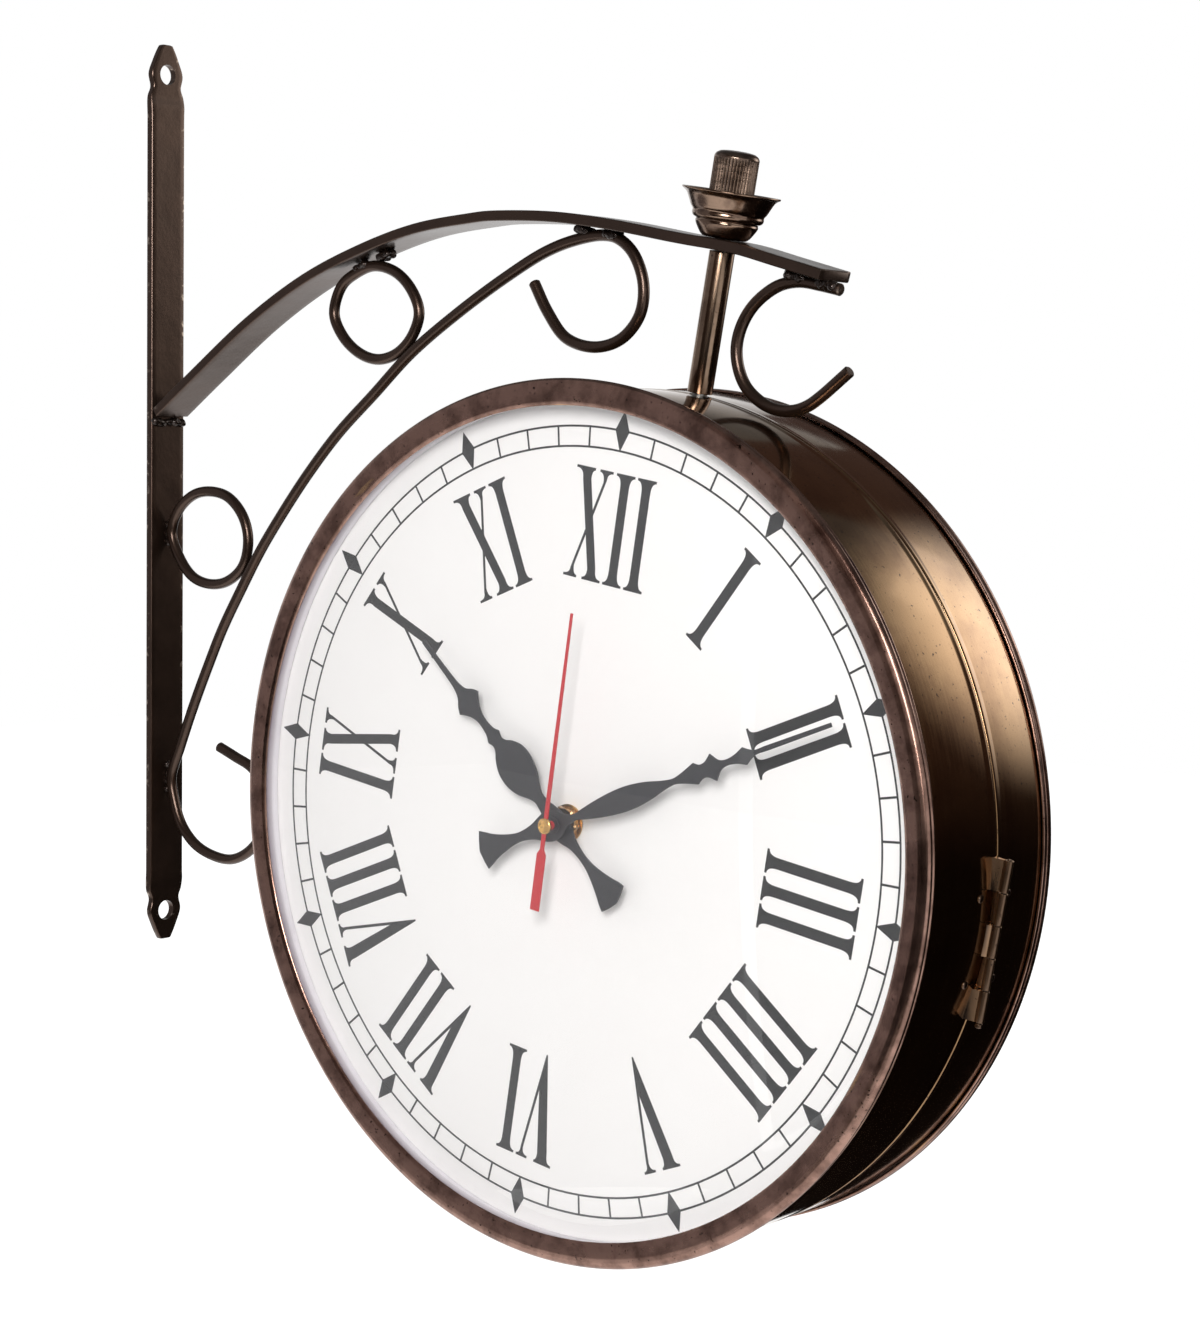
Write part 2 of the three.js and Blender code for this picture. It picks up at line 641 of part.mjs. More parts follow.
function minuteHand() {
  const behind = [
    [1, 0], [0.944, 1], [0.802, 0.662], [0.668, 0.437], [0.535, 0.282], [0.428, 0.246], [0.267, 0.394],
    [0.187, 0.563], [0.1, 0.74],
  ];
  const ahead = [
    [0, 0.79], [0.024, 0.66], [0.047, 0.352], [0.082, 0.176], [0.118, 0.282], [0.157, 0.408],
    [0.196, 0.507], [0.235, 0.577], [0.282, 0.606], [0.333, 0.535], [0.373, 0.415], [0.412, 0.254],
    [0.455, 0.155], [0.486, 0.268], [0.51, 0.394], [0.533, 0.535], [0.553, 0.352], [0.573, 0.387],
    [0.596, 0.676], [0.62, 0.254], [0.643, 0.155], [0.675, 0.225], [0.694, 0.352], [0.706, 0.437],
    [0.722, 0.268], [0.741, 0.127], [1, 0.106], [1, 0],
  ];
  const front = bushFront - minuteHandLift;
  const colletBack = bushFront - hourHandLift - handThickness - fitGap;
  const blade = handBlade(minuteHandLength, minuteHandTail, minuteHandHalfWidth, behind, ahead, front);
  const collet = rodAlong('y', minutePipe.collet, front - handThickness, colletBack, smallSteps);
  const pipe = rodAlong('y', minutePipe.radius, colletBack - 1, bushFront - fitGap, smallSteps);
  return blade.add(collet).add(pipe).subtract(rodAlong('y', minutePipe.bore, front - 1, bushFront));
}

function secondHand() {
  const front = bushFront - secondHandLift;
  const capBack = bushFront - minuteHandLift - handThickness - fitGap;
  const blade = handBlade(
    secondHandLength, secondHandTail, secondHandHalfWidth,
    [[1, 0], [1, 1], [0.34, 1], [0.28, 0.4]], [[0, 0.42], [1, 0.22], [1, 0]], front);
  const cap = rodAlong('y', secondArbor.cap, front - handThickness, capBack, smallSteps);
  const arbor = rodAlong('y', secondArbor.radius, capBack - 1, bushFront - fitGap, 10);
  return blade.add(cap).add(arbor);
}

function halfCase(side, seam, bead) {
  const half = new THREE.Group();
  half.add(
    piece(`${side}_drum`, drum(seam), caseMetal()),
    piece(`${side}_bezel`, bezel(bead), bezelMetal()),
    piece(`${side}_glass`, glass(), clearGlass()),
    piece(`${side}_rehaut`, rehaut(), rehautPaint()),
    piece(`${side}_dial`, dial(), dialPaint()),
    piece(`${side}_movement`, movement(), moulding()),
    piece(`${side}_cell`, cell(), cellJacket()),
    piece(`${side}_set_wheel`, setWheel(), moulding()),
    piece(`${side}_bush_washer`, bushWasher(), brass()),
    piece(`${side}_bush_nut`, bushNut(), brass()),
  );
  const hands = [
    [`${side}_hour_hand`, hourHand(), hourHandAngle, handPaint()],
    [`${side}_minute_hand`, minuteHand(), minuteHandAngle, handPaint()],
    [`${side}_second_hand`, secondHand(), secondHandAngle, secondHandPaint()],
  ];
  for (const [name, solid, angle, paint] of hands) {
    const hand = piece(name, solid, paint);
    hand.rotation.y = angle;
    half.add(hand);
  }
  return half;
}

// ---------------------------------------------------------------- hinge
const hingeAxisX = seamRadius + fitGap + knuckleRadius;

function knuckleSpan(index) {
  const pitch = knuckleLength + knuckleGap;
  const low = (index - knuckleCount / 2) * pitch + knuckleGap / 2;
  return [low, low + knuckleLength];
}

// Leaf bent to the drum, side -1 for the front half and +1 for the rear half.
function hingeLeaf(side) {
  const inner = seamRadius + fitGap;
  const reach = (knuckleCount * (knuckleLength + knuckleGap)) / 2 - knuckleGap / 2;
  const near = knuckleRadius + fitGap;
  const [low, high] = side < 0 ? [-leafDepth, -near] : [near, leafDepth];
  let leaf = turned([
    [inner, low], [inner + leafThickness, low], [inner + leafThickness, high], [inner, high],
  ], 88).intersect(block([0, -leafDepth - 1, -reach], [barrelRadius + 9, leafDepth + 1, reach]));
  for (let i = side < 0 ? 0 : 1; i < knuckleCount; i += 2) {
    const [bottom, top] = knuckleSpan(i);
    const ys = [0, side * (near + 0.5)].sort((a, b) => a - b);
    const tab = block([inner - 4, ys[0], bottom], [hingeAxisX, ys[1], top]);
    const knuckle = rodAlong('z', knuckleRadius, bottom, top).translate([hingeAxisX, 0, 0]);
    leaf = leaf.add(tab).add(knuckle);
  }
  const drumClearance = rodAlong('y', inner, -leafDepth - 2, leafDepth + 2, 88);
  leaf = leaf.subtract(drumClearance);
  const pinBore = rodAlong('z', hingePinRadius + fitGap, -reach - 2, reach + 2);
  leaf = leaf.subtract(pinBore.translate([hingeAxisX, 0, 0]));
  for (const up of [-rivetUp, rivetUp]) {
    const hole = rodAlong('x', rivetShankRadius + fitGap, 0, barrelRadius + 9);
    leaf = leaf.subtract(hole.translate([0, side * rivetAcross, up]));
  }
  return leaf;
}

function hingePin() {
  const reach = (knuckleCount * (knuckleLength + knuckleGap)) / 2;
  const pin = rodAlong('z', hingePinRadius, -reach - 0.8, reach + 0.2);
  const head = rodAlong('z', knuckleRadius - 0.3, -reach - 1.8, -reach - 0.2);
  return pin.add(head).translate([hingeAxisX, 0, 0]);
}

function rivet(side, up) {
  const inner = seamRadius + fitGap;
  const seat = Math.sqrt((inner + leafThickness) ** 2 - up ** 2) + fitGap;
  const shank = rodAlong('x', rivetShankRadius, seat - leafThickness, seat + 0.2, 12);
  const dome = [[0, 0], [1, 0], [0.87, 0.46], [0.48, 0.85], [0, 1]];
  const head = turnedSolid(dome.map(([out, along]) => [out * rivetHeadRadius, along * rivetHeadHeight]), 12)
    .rotate([0, 0, -90]).translate([seat, 0, 0]);
  return shank.add(head).translate([0, side * rivetAcross, up]);
}

function hingePieces() {
  const rear = [
    piece('rear_hinge_leaf', hingeLeaf(1), caseMetal()),
    piece('hinge_pin', hingePin(), brass()),
    piece('rear_rivet_upper', rivet(1, rivetUp), brass()),
    piece('rear_rivet_lower', rivet(1, -rivetUp), brass()),
  ];
  const front = [
    piece('front_hinge_leaf', hingeLeaf(-1), caseMetal()),
    piece('front_rivet_upper', rivet(-1, rivetUp), brass()),
    piece('front_rivet_lower', rivet(-1, -rivetUp), brass()),
  ];
  return [...rear, ...front];
}

// ---------------------------------------------------------------- assembly
const clock = new THREE.Group();
clock.position.copy(clockCentre);
clock.rotation.y = clockTilt;

const frontHalf = halfCase('front', frontDialToSeam, frontBezelBead);
frontHalf.position.y = -frontDialToSeam;

const rearHalf = halfCase('rear', rearDialToSeam, rearBezelBead);
rearHalf.position.y = rearDialToSeam;
rearHalf.rotation.z = Math.PI;

clock.add(frontHalf, rearHalf, clampCup(), clampKnob(), ...stemPieces(), ...hingePieces());

const stemCutter = rodAlong('z', stemHoleRadius, archTopOnStem - 30, archTopOnStem + 30)
  .rotate([0, THREE.MathUtils.radToDeg(clockTilt), 0])
  .translate(clockCentre.toArray());

const part = new THREE.Group();
part.add(...bracketPieces(stemCutter), clock);

export default part;
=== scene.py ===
import json
import math
import random

import bmesh
import bpy
from mathutils import Matrix, Vector, noise


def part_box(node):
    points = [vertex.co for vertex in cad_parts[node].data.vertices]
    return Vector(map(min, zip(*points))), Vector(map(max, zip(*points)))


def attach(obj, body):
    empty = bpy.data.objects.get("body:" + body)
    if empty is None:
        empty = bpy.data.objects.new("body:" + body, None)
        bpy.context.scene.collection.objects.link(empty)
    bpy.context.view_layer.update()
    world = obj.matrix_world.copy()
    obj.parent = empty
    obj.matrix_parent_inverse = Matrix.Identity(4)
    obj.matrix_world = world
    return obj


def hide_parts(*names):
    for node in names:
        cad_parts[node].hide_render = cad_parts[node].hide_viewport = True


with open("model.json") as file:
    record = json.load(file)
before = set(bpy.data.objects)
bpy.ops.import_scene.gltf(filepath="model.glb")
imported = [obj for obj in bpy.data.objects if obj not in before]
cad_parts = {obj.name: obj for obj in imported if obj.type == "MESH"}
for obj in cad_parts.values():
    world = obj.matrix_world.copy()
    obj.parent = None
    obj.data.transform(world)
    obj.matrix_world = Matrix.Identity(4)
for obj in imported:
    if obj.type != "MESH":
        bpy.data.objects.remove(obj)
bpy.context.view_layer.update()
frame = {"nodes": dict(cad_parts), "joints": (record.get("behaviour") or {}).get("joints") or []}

# ---------------------------------------------------------------- camera
# Stands before and to the right of the clock, a little above its middle, and looks slightly down.
# A long lens on a 36 mm wide sensor.
camera = bpy.data.objects.new("camera", bpy.data.cameras.new("camera"))
bpy.context.collection.objects.link(camera)
camera.data.lens = 74.01
camera.data.sensor_width = 36
camera.matrix_world = (
    Matrix.Translation((0.88885, -0.77289, 0.02154))
    @ Matrix.Rotation(math.radians(39.794), 4, "Z")
    @ Matrix.Rotation(math.radians(90 - 4.361), 4, "X")
    @ Matrix.Rotation(math.radians(0.842), 4, "Z"))
bpy.context.scene.camera = camera

# ---------------------------------------------------------------- wall strap
# Flat mild steel bar, 18 by 3.5 mm, whose ends a smith drew thinner and swelled around a screw hole.
# It stands upright against the wall, and the whole bracket is dipped in dark bronze lacquer.
MILLIMETRES = Matrix.Scale(0.001, 4)
WALL = Matrix.Identity(4)


def skin(rings, closed=False):
    """Join rings of points, all with the same count, into one skin, capped at both ends unless closed."""
    shape = bmesh.new()
    loops = [[shape.verts.new(point) for point in ring] for ring in rings]
    pairs = list(zip(loops, loops[1:]))
    if closed:
        pairs.append((loops[-1], loops[0]))
    else:
        shape.faces.new(reversed(loops[0]))
        shape.faces.new(loops[-1])
    for near, far in pairs:
        for i, corner in enumerate(near):
            j = (i + 1) % len(near)
            shape.faces.new((corner, near[j], far[j], far[i]))
    bmesh.ops.remove_doubles(shape, verts=shape.verts, dist=1e-5)
    return shape


def join(*shapes):
    """Put several shapes in one."""
    whole = shapes[0]
    for shape in shapes[1:]:
        spare = bpy.data.meshes.new("spare")
        shape.to_mesh(spare)
        shape.free()
        whole.from_mesh(spare)
        bpy.data.meshes.remove(spare)
    return whole


def make(name, shape, material):
    """Turn a shape into an object of one material."""
    mesh = bpy.data.meshes.new(name)
    shape.to_mesh(mesh)
    shape.free()
    mesh.materials.append(material)
    made = bpy.data.objects.new(name, mesh)
    bpy.context.collection.objects.link(made)
    return made


def settle(name, shape, place, material, crease=32):
    """Turn a shape drawn in millimetres into a smooth shaded piece standing at its place."""
    bmesh.ops.transform(shape, matrix=place @ MILLIMETRES, verts=shape.verts)
    bmesh.ops.recalc_face_normals(shape, faces=shape.faces)
    piece = make(name, shape, material)
    piece.data.shade_smooth()
    piece.data.set_sharp_from_angle(angle=math.radians(crease))
    return piece


def shift(shape, across, along, up):
    """Move a shape by these millimetres."""
    bmesh.ops.translate(shape, vec=(across, along, up), verts=shape.verts)
    return shape


def cut(piece, cutter_shape, place, crease=32):
    """Take a cutter's shape, drawn in millimetres, out of a piece."""
    cutter = settle("cutter", cutter_shape, place, piece.data.materials[0])
    modifier = piece.modifiers.new("cut", "BOOLEAN")
    modifier.operation = "DIFFERENCE"
    modifier.solver = "EXACT"
    modifier.object = cutter
    bpy.context.view_layer.update()
    depsgraph = bpy.context.evaluated_depsgraph_get()
    mesh = bpy.data.meshes.new_from_object(piece.evaluated_get(depsgraph))
    piece.modifiers.clear()
    piece.data = mesh
    mesh.set_sharp_from_angle(angle=math.radians(crease))
    bpy.data.objects.remove(cutter)


def smooth_line(points, closed=False, evenness=0.5, steps=10):
    """Catmull-Rom line through given points. Evenness 0.5 keeps uneven points free of loops."""
    stations = [Vector(point) for point in points]
    if closed:
        stations = [stations[-1], *stations, stations[0], stations[1]]
    else:
        stations = [2 * stations[0] - stations[1], *stations, 2 * stations[-1] - stations[-2]]
    line = []
    for before, start, end, after in zip(stations, stations[1:], stations[2:], stations[3:]):
        gaps = [(b - a).length ** evenness for a, b in ((before, start), (start, end), (end, after))]
        leave = (start - before) / gaps[0] - (end - before) / (gaps[0] + gaps[1]) + (end - start) / gaps[1]
        arrive = (end - start) / gaps[1] - (after - start) / (gaps[1] + gaps[2]) + (after - end) / gaps[2]
        leave, arrive = leave * gaps[1], arrive * gaps[1]
        for k in range(steps):
            t = k / steps
            line.append(
                start * (2 * t**3 - 3 * t**2 + 1) + leave * (t**3 - 2 * t**2 + t)
                + end * (3 * t**2 - 2 * t**3) + arrive * (t**3 - t**2))
    return line if closed else [*line, stations[-2]]


def soften(outline, fillet, steps=3, closed=True):
    """Round each corner of a drawn outline by about the fillet, or less where its sides are short."""
    rounded = []
    for i, point in enumerate(outline):
        corner = Vector(point)
        if not closed and i in (0, len(outline) - 1):
            rounded.append(corner)
            continue
        before = Vector(outline[i - 1]) - corner
        after = Vector(outline[(i + 1) % len(outline)]) - corner
        reach = min(fillet, 0.48 * before.length, 0.48 * after.length)
        start, end = corner + before.normalized() * reach, corner + after.normalized() * reach
        for k in range(steps + 1):
            t = k / steps
            rounded.append(start * (1 - t) ** 2 + corner * (2 * t * (1 - t)) + end * t**2)
    return rounded


def spaced(outline, longest=2.0):
    """Add points along the long sides of an outline, so that its flats stay flat where its edges wear."""
    points = []
    for i, point in enumerate(outline):
        start, end = Vector(point), Vector(outline[(i + 1) % len(outline)])
        count = max(1, round((end - start).length / longest))
        points += [start.lerp(end, k / count) for k in range(count)]
    return points


def circle(radius, steps, across=0, up=0):
    """Points around a circle."""
    turns = (2 * math.pi * k / steps for k in range(steps))
    return [(across + radius * math.cos(turn), up + radius * math.sin(turn)) for turn in turns]


def linear(hex_colour):
    """Turn a colour as it looks on screen, such as 0x3b302b, into the linear values that a shader takes."""
    channels = [(hex_colour >> shift & 255) / 255 for shift in (16, 8, 0)]
    return [c / 12.92 if c <= 0.04045 else ((c + 0.055) / 1.055) ** 2.4 for c in channels] + [1]


def add(tree, kind, sockets=None, **settings):
    """Add one node, set its own settings, and give its inputs a value or a link."""
    made = tree.nodes.new(kind)
    for name, value in settings.items():
        setattr(made, name, value)
    for socket, value in (sockets or {}).items():
        if isinstance(value, bpy.types.NodeSocket):
            tree.links.new(value, made.inputs[socket])
        else:
            made.inputs[socket].default_value = value
    return made


def new_material(name):
    """An empty node material, with the position on the piece in metres."""
    material = bpy.data.materials.new(name)
    material.use_nodes = True
    tree = material.node_tree
    tree.nodes.clear()
    return material, tree, add(tree, "ShaderNodeTexCoord").outputs["Object"]


def mottled(name, patch, colours, detail, unevenness=0.5):
    """A material whose colour drifts between two over patches of one size in millimetres."""
    material, tree, spot = new_material(name)
    clouds = add(tree, "ShaderNodeTexNoise", {
        "Vector": spot, "Scale": 1000 / patch, "Detail": detail, "Roughness": unevenness})
    tone = add(tree, "ShaderNodeMix", {
        0: clouds.outputs[0], 6: linear(colours[0]), 7: linear(colours[1])}, data_type="RGBA")
    return material, tree, spot, clouds, tone


def finish(tree, tone, relief, strength, depth, sockets):
    """Give a material its colour, the relief of its skin, as deep as the depth in metres, and its gloss."""
    bump = add(tree, "ShaderNodeBump", {"Strength": strength, "Distance": depth, "Height": relief.outputs[0]})
    shader = add(tree, "ShaderNodeBsdfPrincipled", {
        "Base Color": tone.outputs[2], "Normal": bump.outputs[0], **sockets})
    add(tree, "ShaderNodeOutputMaterial", {"Surface": shader.outputs[0]})


# Dark bronze lacquer over forged steel: nearly black brown, half gloss, a little uneven like any dipped
# coat, with pale rubbed specks on the outer edges.
bracket_lacquer, tree, spot, clouds, tone = mottled(
    "dark bronze lacquer", 18, (0x3a2e27, 0x544238), 5, 0.6)
orange_peel = add(tree, "ShaderNodeTexNoise", {"Vector": spot, "Scale": 1000 / 1.6, "Detail": 2})
hammer_marks = add(tree, "ShaderNodeTexNoise", {"Vector": spot, "Scale": 1000 / 9, "Detail": 1})
edges = add(tree, "ShaderNodeMapRange", {
    "Value": add(tree, "ShaderNodeNewGeometry").outputs["Pointiness"], "From Min": 0.54, "From Max": 0.61})
specks = add(tree, "ShaderNodeMapRange", {
    "Value": add(tree, "ShaderNodeTexNoise", {"Vector": spot, "Scale": 1000 / 3.5, "Detail": 3}).outputs[0],
    "From Min": 0.58, "From Max": 0.68})
rubbed = add(tree, "ShaderNodeMath", {0: edges.outputs[0], 1: specks.outputs[0]}, operation="MULTIPLY")
worn = add(tree, "ShaderNodeMix", {
    0: rubbed.outputs[0], 6: tone.outputs[2], 7: linear(0xa89a8c)}, data_type="RGBA")
sheen = add(tree, "ShaderNodeMapRange", {"Value": clouds.outputs[0], "To Min": 0.24, "To Max": 0.36})
relief = add(tree, "ShaderNodeMath", {
    0: hammer_marks.outputs[0], 1: 3.0, 2: orange_peel.outputs[0]}, operation="MULTIPLY_ADD")
finish(tree, worn, relief, 0.35, 0.0001, {
    "Metallic": 0.9, "Roughness": sheen.outputs[0], "Coat Weight": 0.15, "Coat Roughness": 0.2})

STRAP_HALF_WIDTH = 9
STRAP_THICKNESS = 3.5
STRAP_HALF_HEIGHT = 190.5
SCREW_HOLE_HEIGHT = 178
SCREW_HOLE_RADIUS = 4.2
END_THINNING = 0.5                # the ends are this much thinner, so each screw has its own seat


def strap_section(half_width, thickness, blunt=0):
    """Section of the strap with eased corners, and points across its flats where only the corners wear."""
    wide, deep = half_width - blunt, thickness - blunt
    eased = soften([(0, -wide), (0, wide), (deep, wide), (deep, -wide)], 0.7)
    points = []
    for i, corner in enumerate(eased):
        points.append(corner)
        if i in (3, 11):
            points += [corner.lerp(eased[i + 1], k / 8) for k in range(1, 8)]
    return points


end_outline = smooth_line(
    [(150, 9), (160, 9), (168.5, 9), (172.6, 7.5), (178, 8.5), (184, 6.2), (188.5, 3.9), (190.5, 2.6)],
    steps=6)
rings = []
for side in (-1, 1):
    half = [
        (z, half_width, STRAP_THICKNESS - END_THINNING * min(1, max(0, (z - 165) / 3)))
        for z, half_width in end_outline]
    stations = [station for station in half if station[0] > 150.1] if side > 0 else reversed(half)
    for z, half_width, thickness in stations:
        blunt = 0.5 if z > STRAP_HALF_HEIGHT - 0.1 else 0
        rings.append([(x, y, side * z) for x, y in strap_section(half_width, thickness, blunt)])
    if side < 0:
        middle_section = strap_section(STRAP_HALF_WIDTH, STRAP_THICKNESS)
        rings += [[(x, y, z) for x, y in middle_section] for z in range(-144, 151, 6)]
strap = settle("strap_forged", skin(rings), WALL, bracket_lacquer)
for height in (-SCREW_HOLE_HEIGHT, SCREW_HOLE_HEIGHT):
    bore = [[(x, y, z) for y, z in circle(SCREW_HOLE_RADIUS, 48, 0, height)] for x in (-2, 6)]
    cut(strap, skin(bore), WALL)
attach(strap, "bracket")
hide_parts("wall_strap")

# ---------------------------------------------------------------- arch bar
# The arm: 18 by 4 mm flat bar, bent cold over a former, welded to the strap at its low end. The stem's
# seat near the free end is left flat, and the free end is sheared off square.
ARCH_THICKNESS = 4
ARCH_HALF_WIDTH = 9
SEAT_REACH = 296                  # from the strap's front face to the stem
SEAT_HEIGHT = 97.7
SEAT_HALF_LENGTH = 10.5
swivel = next(joint for joint in frame["joints"] if joint["name"] == "swivel")
stem_up = Vector(swivel["axis"]).normalized()
lean = math.atan2(stem_up.x, stem_up.z)


def between(start, end, shares):
    """Points between two stations, each given as its share of the way out and of the way up."""
    return [
        (start[0] + (end[0] - start[0]) * out, start[1] + (end[1] - start[1]) * up) for out, up in shares]


def evenly(line, spacing, closed=False):
    """Stations along a line at even distances, each with its distance from the start."""
    points = [*line, line[0]] if closed else line
    travel = [0]
    for near, far in zip(points, points[1:]):
        travel.append(travel[-1] + (far - near).length)
    count = max(2, round(travel[-1] / spacing))
    stops = [travel[-1] * k / count for k in range(count if closed else count + 1)]
    if not closed:
        stops = [0, 0.45, *stops[1:-1], travel[-1] - 0.45, travel[-1]]
    stations, i = [], 0
    for stop in stops:
        while travel[i + 1] < stop and i < len(points) - 2:
            i += 1
        share = (stop - travel[i]) / max(travel[i + 1] - travel[i], 1e-9)
        stations.append((points[i].lerp(points[i + 1], share), stop))
    return stations


def bent_bar(line, section, spacing, closed=False):
    """Bar of one section, given as (across, up), bent along a line that is drawn as (out, height)."""
    stations = evenly(line, spacing, closed)
    count = len(stations)
    rings = []
    for i, (point, _) in enumerate(stations):
        if closed:
            run = stations[(i + 1) % count][0] - stations[i - 1][0]
        else:
            run = stations[min(i + 1, count - 1)][0] - stations[max(i - 1, 0)][0]
        run.normalize()
        blunt = 0.8 if not closed and i in (0, count - 1) else 1
        middle = sum(up for _, up in section) / len(section)
        rings.append([
            (STRAP_THICKNESS + point.x - run.y * (middle + (up - middle) * blunt), across * blunt,
             point.y + run.x * (middle + (up - middle) * blunt))
            for across, up in section])
    return skin(rings, closed)


run, drop = SEAT_HALF_LENGTH * math.cos(lean), SEAT_HALF_LENGTH * math.sin(lean)
arch_weld, crown = (0.15, 37.5), (195.5, 111.9)
seat_start, seat_end = (SEAT_REACH - run, SEAT_HEIGHT + drop), (SEAT_REACH + run, SEAT_HEIGHT - drop)
arch_tip = (345, 85.2)
arch_edge = smooth_line([
    arch_weld,
    *between(arch_weld, crown, [
        (0.115, 0.202), (0.289, 0.495), (0.458, 0.718), (0.621, 0.864), (0.775, 0.958), (0.923, 0.995)]),
    crown,
    *between(crown, seat_start, [(0.299, 0.13), (0.599, 0.439), (0.887, 0.846)]),
    seat_start, seat_end, *between(seat_end, arch_tip, [(0.496, 0.493)]), arch_tip,
], evenness=0)
arch_section = spaced(soften([
    (-ARCH_HALF_WIDTH, 0), (ARCH_HALF_WIDTH, 0), (ARCH_HALF_WIDTH, -ARCH_THICKNESS),
    (-ARCH_HALF_WIDTH, -ARCH_THICKNESS)], 0.8))
arch = settle("arch_forged", bent_bar(arch_edge, arch_section, 4), WALL, bracket_lacquer)
bpy.context.view_layer.update()

CLOCK = Matrix.Translation(Vector(swivel["pos_m"])) @ Matrix.Rotation(lean, 4, "Y")
STEM_HOLE_RADIUS = 3.6
ARCH_TOP = 212.0                  # along the stem from the middle of the clock
stem_hole = [
    [(x, y, z) for x, y in circle(STEM_HOLE_RADIUS, 32)] for z in (ARCH_TOP - 10, ARCH_TOP + 10)]
cut(arch, skin(stem_hole), CLOCK)
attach(arch, "bracket")
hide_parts("arch_bar")

# ---------------------------------------------------------------- bent rods
# Round bar, 4.4 mm, bent hot into a long scroll, two rings and the end hook, and welded under the arch.
# Their ends are cut off square.
ROD_RADIUS = 2.2
AIR = 0.3


def under_arch(out):
    """Height of a rod's centre line where it is welded under the arch, at one distance out."""
    near, far = next((a, b) for a, b in zip(arch_edge, arch_edge[1:]) if b.x >= out)
    slope = math.atan2(far.y - near.y, far.x - near.x)
    height = near.y + (far.y - near.y) * (out - near.x) / (far.x - near.x)
    return height - (ARCH_THICKNESS + ROD_RADIUS + AIR) / math.cos(slope)


def bend(weld, size, shares):
    """Listed points of one bend, as shares of its size, counted from where the rod is welded."""
    return [(weld[0] + along * size, weld[1] + up * size) for along, up in shares]


SCROLL_REACH, RING_REACH, END_HOOK_REACH = 240, 122.5, 334
scroll_top = (SCROLL_REACH, under_arch(SCROLL_REACH))
scroll_foot = (ROD_RADIUS + AIR, -120)
scroll_line = smooth_line([
    *bend(scroll_top, 41, [
        (-0.817, -0.395), (-0.641, -0.676), (-0.42, -0.91), (-0.073, -0.998), (0.239, -0.924),
        (0.441, -0.717), (0.476, -0.454), (0.363, -0.185), (0.183, -0.039), (0, 0), (-0.329, -0.032),
        (-0.685, -0.127)]),
    *between(scroll_foot, scroll_top, [
        (0.803, 0.939), (0.693, 0.877), (0.591, 0.81), (0.506, 0.738), (0.423, 0.668), (0.352, 0.595),
        (0.29, 0.522), (0.233, 0.448), (0.184, 0.373), (0.137, 0.297), (0.099, 0.223), (0.062, 0.146),
        (0.027, 0.065)]),
    *bend(scroll_foot, 61.5, [
        (0.007, 0), (0.034, -0.146), (0.107, -0.312), (0.244, -0.439), (0.428, -0.504), (0.634, -0.511),
        (0.821, -0.423), (0.959, -0.26), (1, -0.081), (0.846, 0.122), (0.657, 0.198), (0.496, 0.254)]),
])
upper_ring_line = smooth_line(bend((RING_REACH, under_arch(RING_REACH)), 38, [
    (-0.589, -0.513), (-0.484, -0.234), (-0.276, -0.105), (0, -0.034), (0.316, -0.113), (0.542, -0.303),
    (0.647, -0.534), (0.553, -0.768), (0.347, -0.939), (0.068, -1.003), (-0.211, -0.934),
    (-0.461, -0.75)]), closed=True)
lower_ring_line = smooth_line(bend((ROD_RADIUS + AIR, -15), 48, [
    (0.004, 0), (0.092, 0.2), (0.296, 0.342), (0.527, 0.375), (0.75, 0.325), (0.929, 0.167),
    (0.996, -0.031), (0.938, -0.254), (0.75, -0.396), (0.521, -0.437), (0.292, -0.385),
    (0.125, -0.238)]), closed=True)
end_hook_line = smooth_line(bend((END_HOOK_REACH, under_arch(END_HOOK_REACH)), 44, [
    (0.295, -0.068), (0.091, -0.023), (-0.105, 0.009), (-0.298, -0.014), (-0.443, -0.082),
    (-0.57, -0.182), (-0.657, -0.3), (-0.707, -0.427), (-0.718, -0.548), (-0.689, -0.684),
    (-0.625, -0.805), (-0.525, -0.9), (-0.393, -0.973), (-0.255, -1.007), (-0.127, -1.005),
    (-0.002, -0.968), (0.111, -0.902), (0.393, -0.695)]))
rod_section = circle(ROD_RADIUS, 20)
for name, line, closed in (
        ("scroll_rod", scroll_line, False), ("upper_ring", upper_ring_line, True),
        ("lower_ring", lower_ring_line, True), ("end_hook", end_hook_line, False)):
    rod = settle(f"{name}_bent", bent_bar(line, rod_section, 1.6, closed), WALL, bracket_lacquer)
    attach(rod, "bracket")
    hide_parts(name)

# ---------------------------------------------------------------- weld beads
# The rods are welded to the bar and to each other with a few short runs of a stick welder, left as they
# cooled and lacquered over: lumpy, glassy and darker than the bar.
weld_scale, tree, _, lumps, tone = mottled("lacquered weld metal", 1.8, (0x1d1613, 0x3c302a), 4, 0.7)
sheen = add(tree, "ShaderNodeMapRange", {"Value": lumps.outputs[0], "To Min": 0.18, "To Max": 0.4})
finish(tree, tone, lumps, 0.4, 0.0003, {
    "Metallic": 0.8, "Roughness": sheen.outputs[0], "Coat Weight": 0.4, "Coat Roughness": 0.12})

chance = random.Random(11)


def weld_run(start, end, size, drops):
    """A short run of weld from start to end, as a row of lumps that have run into each other."""
    beads = bmesh.new()
    for k in range(drops):
        centre = Vector(start).lerp(Vector(end), k / max(drops - 1, 1))
        centre += Vector([chance.uniform(-0.35, 0.35) for _ in range(3)])
        radius = size * chance.uniform(0.8, 1.2)
        made = bmesh.ops.create_icosphere(beads, subdivisions=3, radius=1)["verts"]
        for vert in made:
            swell = 1 + 0.28 * noise.noise(vert.co * 1.7 + centre)
            vert.co = centre + vert.co * radius * swell
    return beads


